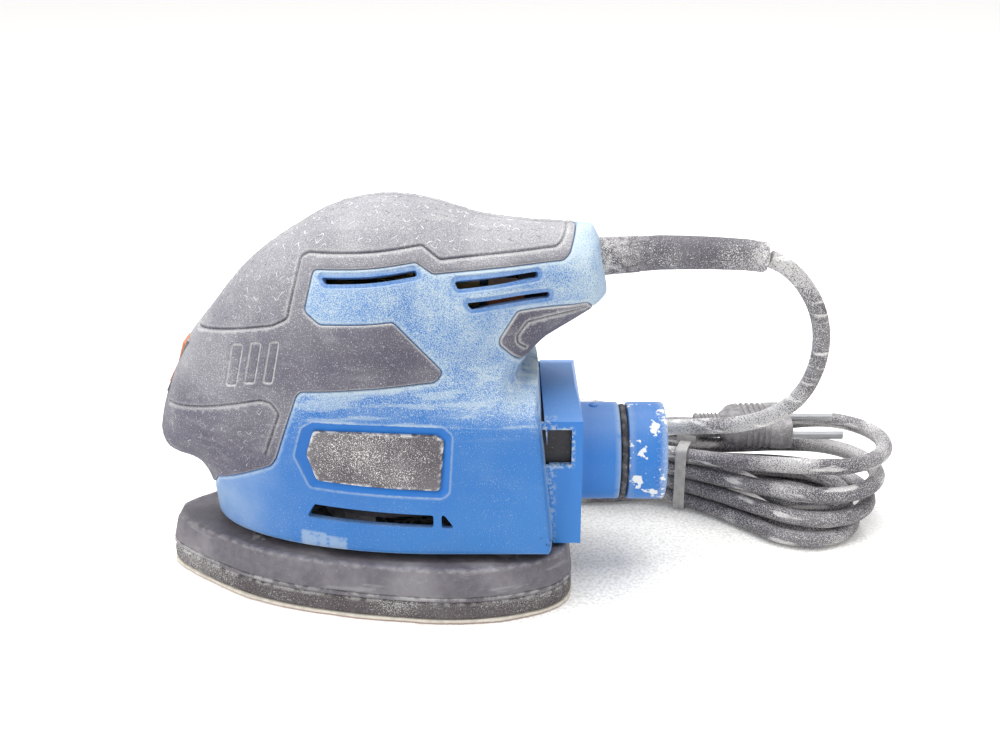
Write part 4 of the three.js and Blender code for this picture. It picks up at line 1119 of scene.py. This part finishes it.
def build_ticks(side):
    """Small raised bars in pairs over the textured rubber."""
    cells = hex_grid(140, TICK_PITCH, TICK_PITCH * 0.9)
    cells = cells + RNG.uniform(-0.6, 0.6, (len(cells), 2))
    cells = cells[np.hypot(cells[:, 0], cells[:, 1]) < side_map.full_way(cells) - 1.2]
    x, z = side_map.roll(cells).T
    top = inside(TEXTURE_ZONE, x, z) & (line_distance(TEXTURE_LINE, x, z) > 1.5)
    low = inside(NOSE_ZONE, x, z) & (line_distance(NOSE_LINE, x, z) > 1.5)
    ok = (top | low) & (signed(GRIP_OUTLINE, x, z) > 1.6) & (signed(SWITCH_OUTLINE, x, z) < -1.5)
    if side == "right":
        for c in SCREWS:
            ok &= np.hypot(x - c[0], z - c[1]) > SCREW_HOLE_R + 1.4
    verts, faces, tip = [], [], []
    for p, n, e1, e2, is_low in zip(*surface_frame(cells[ok]), low[ok]):
        turn = RNG.choice(TICK_TURNS, 1)[0] * math.pi + RNG.uniform(-0.3, 0.3)
        missing, rise = (0.45, 0.07) if is_low else (0.22, 0.13)
        for arm in (-1, 1):
            if RNG.uniform() < missing:
                continue
            a = turn + arm * 0.66
            d = e1 * math.cos(a) + e2 * math.sin(a)
            w = np.cross(n, d)
            start = p + n * 0.22 + d * 0.15
            stop = start + d * (1.35 + 0.6 * RNG.uniform())
            b = len(verts)
            for end, half in ((start, 0.19), (stop, 0.11)):
                verts += [end - w * half, end + w * half,
                          end - w * half * 0.45 + n * rise, end + w * half * 0.45 + n * rise]
                tip += [0.35 if is_low else 0.35 + 0.6 * float(smooth(p[0], -60, -5))] * 4
            faces += [[b + 2, b + 3, b + 7, b + 6], [b, b + 2, b + 6, b + 4], [b + 1, b + 5, b + 7, b + 3],
                      [b, b + 1, b + 3, b + 2], [b + 4, b + 6, b + 7, b + 5], [b, b + 4, b + 5, b + 1]]
    verts = np.array(verts)
    if side == "right":
        verts = verts * (1, -1, 1)
    else:
        faces = [f[::-1] for f in faces]
    obj = new_object(f"grip_ticks_{side}", verts, faces, crease=0)
    colour_mask(obj, region=np.array(tip))
    dress(obj, TEXTURED, "root", "grip_rubber")


for side in ("left", "right"):
    build_side(side)
    build_ticks(side)

# ---------------------------------------------------------------- sanding base
SOLE = [
    (-78.5, 5), (-75.3, 9.8), (-71, 14), (-64, 20.2), (-56, 26.4), (-48, 31.8), (-38, 36.9), (-26, 41.2), (-12, 44.8),
    (4, 47.6), (20, 49.3), (34, 48.2), (46, 45), (54.5, 41), (59.5, 36.2), (62.3, 30.5), (63, 24)]


def sole_loop(count=300):
    near_side = catmull([(x, -y) for x, y in SOLE], 10)
    loop = np.vstack([near_side, near_side[::-1] * (1, -1)])
    closed = resample(np.vstack([loop, loop[:1]]), 1.0)
    run = run_along(closed)
    return at_ways(closed, run, np.linspace(0, run[-1], count, endpoint=False))


def outward(loop):
    """Unit vectors out of a closed loop, evened out along it."""
    ahead = unit(np.roll(loop, -2, axis=0) - np.roll(loop, 2, axis=0))
    out = np.column_stack([ahead[:, 1], -ahead[:, 0]])
    for _ in range(3):
        out = (np.roll(out, 1, axis=0) + out * 2 + np.roll(out, -1, axis=0)) / 4
    return unit(out)


SOLE_LOOP = sole_loop()
SOLE_OUT = outward(SOLE_LOOP)
LOOP_ANGLE = np.linspace(0, TURN, len(SOLE_LOOP), endpoint=False)
DUST_HOLES = [(-52, 0), (-20, -20), (-20, 20), (22, -26), (22, 26), (46, 0)]
HOLE_R, HOLE_SIDES = 4.0, 24


def sole_ring(offset, z):
    """The outline moved in by an offset, at a height; both may be one number or one per point."""
    offset, z = (np.broadcast_to(np.asarray(v, float), len(SOLE_LOOP)) for v in (offset, z))
    return np.column_stack([SOLE_LOOP - SOLE_OUT * offset[:, None], z])


def punched_layer(name, rings):
    """A closed layer with the sole's outline: rings from the underside's rim to the top's rim, both faces punched."""
    n, m = len(SOLE_LOOP), HOLE_SIDES
    verts = [tuple(p) for ring in rings for p in ring]
    faces = band_faces(len(rings), n)
    loops = [circle(c, HOLE_R, m) for c in DUST_HOLES]
    links = [(i, (i + 1) % n) for i in range(n)]
    links += [(n + h * m + i, n + h * m + (i + 1) % m) for h in range(len(loops)) for i in range(m)]
    hole_base = []
    for ring, start, flip in ((rings[0], 0, True), (rings[-1], (len(rings) - 1) * n, False)):
        flat = [Vector(p[:2]) for p in ring.tolist()] + [Vector(p) for loop in loops for p in loop.tolist()]
        coords, _, cells, origin, _, _ = delaunay_2d_cdt(flat, links, [], 1, 1e-7)
        hole_base.append(len(verts))
        z = float(np.mean(ring[:, 2]))
        verts += [(p[0], p[1], z) for loop in loops for p in loop]
        ids = [start + o[0] if o[0] < n else hole_base[-1] + o[0] - n for o in origin]
        for cell in cells:
            mid = np.mean([tuple(coords[c]) for c in cell], axis=0)
            if all(math.hypot(mid[0] - c[0], mid[1] - c[1]) >= HOLE_R * 0.98 for c in DUST_HOLES):
                f = [ids[c] for c in cell]
                faces.append(f[::-1] if flip else f)
    for h in range(len(DUST_HOLES)):
        a, b = hole_base[0] + h * m, hole_base[1] + h * m
        faces += [[a + (i + 1) % m, a + i, b + i, b + (i + 1) % m] for i in range(m)]
    return new_object(name, verts, faces)


def wobble(seed, amount, waves=(5, 9, 17, 31, 57)):
    """A small uneven wave around the outline."""
    rng = np.random.default_rng(seed)
    out = sum(np.sin(LOOP_ANGLE * w + rng.uniform(0, 6.28)) * rng.uniform(0.4, 1) / (1 + 0.02 * w) for w in waves)
    return amount * out / len(waves) * 2


# paper edge: a little past the pad, wavy; the grit layer below it
edge = 0.35 + wobble(3, 0.45)
droop = np.clip(wobble(5, 0.12), -0.1, 0.16)
grit = punched_layer("abrasive_grit", [
    sole_ring(2.5, 0.0), sole_ring(edge + 0.5, 0.0), sole_ring(edge + 0.25, 0.10), sole_ring(edge + 0.25, 0.32),
    sole_ring(2.5, 0.34)])
colour_mask(grit)
dress(grit, GRIT, "base", "abrasive_paper", "abrasive_sheet")
paper = punched_layer("abrasive_backing", [
    sole_ring(2.5, 0.36), sole_ring(edge, 0.36), sole_ring(edge - 0.1, 0.55), sole_ring(edge - 0.05, 1.0 + droop),
    sole_ring(edge + 0.25, 1.2 + droop), sole_ring(2.8, 1.2)])
colour_mask(paper)
dress(paper, PAPER, "base", "abrasive_paper", "abrasive_sheet")

PAD_PROFILE = (                         # height, distance in from the outline
    (1.5, 1.1), (2.0, 0.75), (3.0, 0.6), (4.0, 0.62), (5.0, 0.55), (6.2, 0.6), (7.1, 0.8), (7.5, 1.2))
wall = [sole_ring(off + wobble(20 + k, 0.10, (43, 71, 97, 131)), z) for k, (z, off) in enumerate(PAD_PROFILE)]
pad = punched_layer("foam_pad", [sole_ring(2.5, 1.5), *wall, sole_ring(3.5, 7.5)])
colour_mask(pad, np.where(places(pad)[:, 2] > 7.0, 0.5, 0.0))
dress(pad, FOAM, "base", "pad_foam", "sanding_pad")

# the plate: a wall that leans in, a rounded rim, and a flat top with post sockets, a bearing recess and a bore
PLATE_PROFILE = [                       # distance in from the outline, height
    (2.5, 7.8), (0.85, 7.8), (0.5, 8.1), (0.55, 9.2), (0.85, 9.35), (0.85, 9.65), (0.60, 9.8), (1.0, 11.5),
    (1.7, 14.6), (2.4, 17.3), (2.7, 18.0), (3.3, 18.45), (4.4, 18.5), (5.6, 18.35)]
SOCKETS = [(xy, 8.3, 10.8) for xy in ((-38, -14), (-38, 14), (36, -24), (36, 24))]      # place, radius, floor
SOCKETS += [((1, 0), 11.3, 11.3), ((1, 0), 5.2, 5.0)]
tray = punched_layer("base_slab", [sole_ring(off, z) for off, z in PLATE_PROFILE])
tz = places(tray)[:, 2]
ring_no = np.arange(len(tz)) // len(SOLE_LOOP)
tray_wear = (0.75 * near(tz - 8.9, 0.5) * (ring_no < 8)
             + 0.35 * near(tz - 18.2, 0.3) * (ring_no < len(PLATE_PROFILE) - 1))
# green: painted shade in the groove of the plate's wall
colour_mask(tray, np.clip(tray_wear, 0, 1), near(tz - 9.5, 0.22) * (ring_no < 8))
for middle, r, floor_z in SOCKETS:
    loops = [[(p[0], p[1], z) for p in circle(middle, r, 48)] for z in (floor_z, 21)]
    combine(tray, join_parts("tool", [loop_loft(loops)], 0))
shade(tray.data, 35)
dress(tray, BASE_PLASTIC, "base", "dark_plastic", "base_plate")


# ---------------------------------------------------------------- dust adapter, seal and collar
SPIGOT_Z = 41.0
POCKET = [(-27.3, 24.2), (27.3, 24.2), (27.3, 62.2), (10.3, 66.8), (-10.3, 66.8), (-27.3, 62.2)]
WINDOW = [(53.4, 48.5), (61.5, 48.5), (61.5, 61.1), (53.4, 61.1)]
CHEEKS = ([(51.3, 63.6), (53.2, 63.6), (53.8, 61.2), (51.55, 61.2)],        # lips above and below the windows
          [(52.85, 48.4), (55.2, 48.4), (58.0, 20), (55.95, 20)])
adapter = prism([(51.9, 69.5), (63.2, 69.5), (65, 64.5), (65, 20), (57.2, 20)], "y", -31, 31)
face = [(-30, 20), (30, 20), (30, 64), (11, 69.5), (-11, 69.5), (-30, 64)]
combine(adapter, prism(face, "x", 48, 70), "INTERSECT")
combine(adapter, prism(POCKET, "x", 48, 62.3))
combine(adapter, prism(WINDOW, "y", -40, 40))
combine(adapter, prism([tuple(p) for p in circle((0, SPIGOT_Z), 14.5, 64)], "x", 58, 70))
for y0, y1 in ((-30, -28.7), (28.7, 30)):
    for cheek in CHEEKS:
        combine(adapter, prism(cheek, "y", y0, y1), "UNION")
bevel = adapter.modifiers.new("edges", "BEVEL")
bevel.width = 0.35 * MM
bevel.segments = 3
bevel.limit_method = "ANGLE"
bevel.angle_limit = math.radians(30)
apply_modifiers(adapter)
adapter.name = "adapter_cap"
shade(adapter.data, 40)
colour_mask(adapter)
dress(adapter, BLUE_ADAPTER, "adapter", "blue_shell", "dust_adapter")


def turned(name, profile, *extra):
    """A piece turned about the spigot's axis."""
    return join_parts(name, [lathe(profile, "x", (0, 0, SPIGOT_Z), 96), *extra])


spigot_profile = [
    (63.0, 14.55), (79.2, 14.55), (79.2, 16.5), (78.8, 16.95), (66.4, 17.0), (65.6, 17.3), (65.1, 18.0), (63.0, 18.0)]
nub = lathe([(0, 0.01), (0.0, 1.7), (0.5, 1.55), (0.9, 1.0), (1.05, 0.01)], "z", (0, 0, 0), 16)
nub_verts = [(70.5 + v[0], v[1], SPIGOT_Z + 16.8 + v[2]) for v in nub[0]]
spigot = turned("spigot", refined(spigot_profile), (nub_verts, nub[1]))
colour_mask(spigot, np.where(places(spigot)[:, 0] > 78.5, 0.5, 0.0))
dress(spigot, BLUE_ADAPTER, "adapter", "blue_shell", "dust_adapter")

seal = turned("seal", [
    (79.5, 14.6), (81.7, 14.6), (81.7, 15.7), (81.3, 16.2), (80.6, 16.35), (79.9, 16.2), (79.5, 15.7)])
colour_mask(seal, 0.15)
dress(seal, SEAL, "adapter", "cord_rubber", "seal_ring")

collar_profile = [
    (70.3, 12.3), (95.2, 12.3), (95.2, 16.1), (94.9, 16.7), (94.2, 17.0), (88.4, 17.05), (82.9, 17.0), (82.2, 16.8),
    (82.0, 16.3), (82.0, 14.2), (70.3, 14.2)]
collar = turned("spigot_collar", refined(collar_profile))
cx, cy, cz = places(collar).T
outer = np.hypot(cy, cz - SPIGOT_Z) > 15.5
colour_mask(collar, (0.55 * near(cx - 94.6, 1.0) + 0.35 * near(cx - 82.6, 0.6)) * outer, 0.0,
            outer * (0.32 + 0.68 * near(cx - 93.6, 2.4)))
dress(collar, BLUE_ADAPTER, "collar", "blue_shell", "hose_collar")

# ---------------------------------------------------------------- cable tie with its head
def box_loops(x, y, z):
    """Two loops, at the lowest and highest z, of an upright box."""
    return [[(a, b, c) for a, b in ((x[0], y[0]), (x[1], y[0]), (x[1], y[1]), (x[0], y[1]))] for c in z]


TIE_ALONG = 7.5                         # where the tie sits along the hank
inner = filleted([(-16.6, 1.2), (16.6, 1.2), (16.6, 25.1), (-16.6, 25.1)], 3.0, steps=6)
outer = filleted([(-17.8, 0.05), (17.8, 0.05), (17.8, 26.1), (-17.8, 26.1)], 3.6, steps=6)
loops = [[(x, y, z) for y, z in loop] for loop, x in ((inner, -1.8), (outer, -2.1), (outer, 2.1), (inner, 1.8))]
strap = loop_loft(loops + [loops[0]], capped=False)
head = loop_loft(box_loops((-3.6, 3.6), (-9, -2.5), (25.2, 28.2)))
tail = loop_loft([[(x, y, z) for x, z in ((-1.9, 26.2), (1.9, 26.2), (1.9, 27.1), (-1.9, 27.1))] for y in (-2.5, 8.5)])
tie = join_parts("cable_tie_strap", [strap, head, tail])
tie_x, tie_y, _ = hank_to_row(TIE_ALONG, 0, 0)
tie.data.transform(Matrix.Translation((tie_x * MM, tie_y * MM, 0)) @ Matrix.Rotation(HANK_LEAN, 4, "Z"))
colour_mask(tie, 0.2)
dress(tie, CLEAR_TIE, "root", "black_plastic", "cable_tie")

# ---------------------------------------------------------------- CAD nodes that stay, with their materials
FINISHES = {
    "switch_bezel": GRIP, "switch_body": BLACK, "switch_rocker": ORANGE, "dust_duct": BLACK, "motor_plate": BLACK,
    "cord_clamp": BLACK, "cooling_fan": BASE_PLASTIC, "suppressor": ORANGE, "bearing_cup": GRIP, "field_core": IRON,
    "armature_core": IRON, "counterweight": IRON, "field_coil_front": COPPER, "field_coil_rear": COPPER,
    "armature_winding": COPPER, "commutator": BRASS, "brush_holder_front": BRASS, "brush_holder_rear": BRASS,
    "carbon_brush_front": CARBON, "carbon_brush_rear": CARBON}
for name, obj in NODES.items():
    obj.data.materials.clear()
    obj.data.materials.append(GRIP if name.startswith("flex_post") else FINISHES.get(name, STEEL))
for name in ("switch_bezel", "switch_rocker", "dust_duct"):
    weld = NODES[name].modifiers.new("weld", "WELD")
    weld.merge_threshold = 1e-5
    soft = NODES[name].modifiers.new("edges", "BEVEL")
    soft.width = 0.4 * MM
    soft.segments = 3
    soft.angle_limit = math.radians(30)
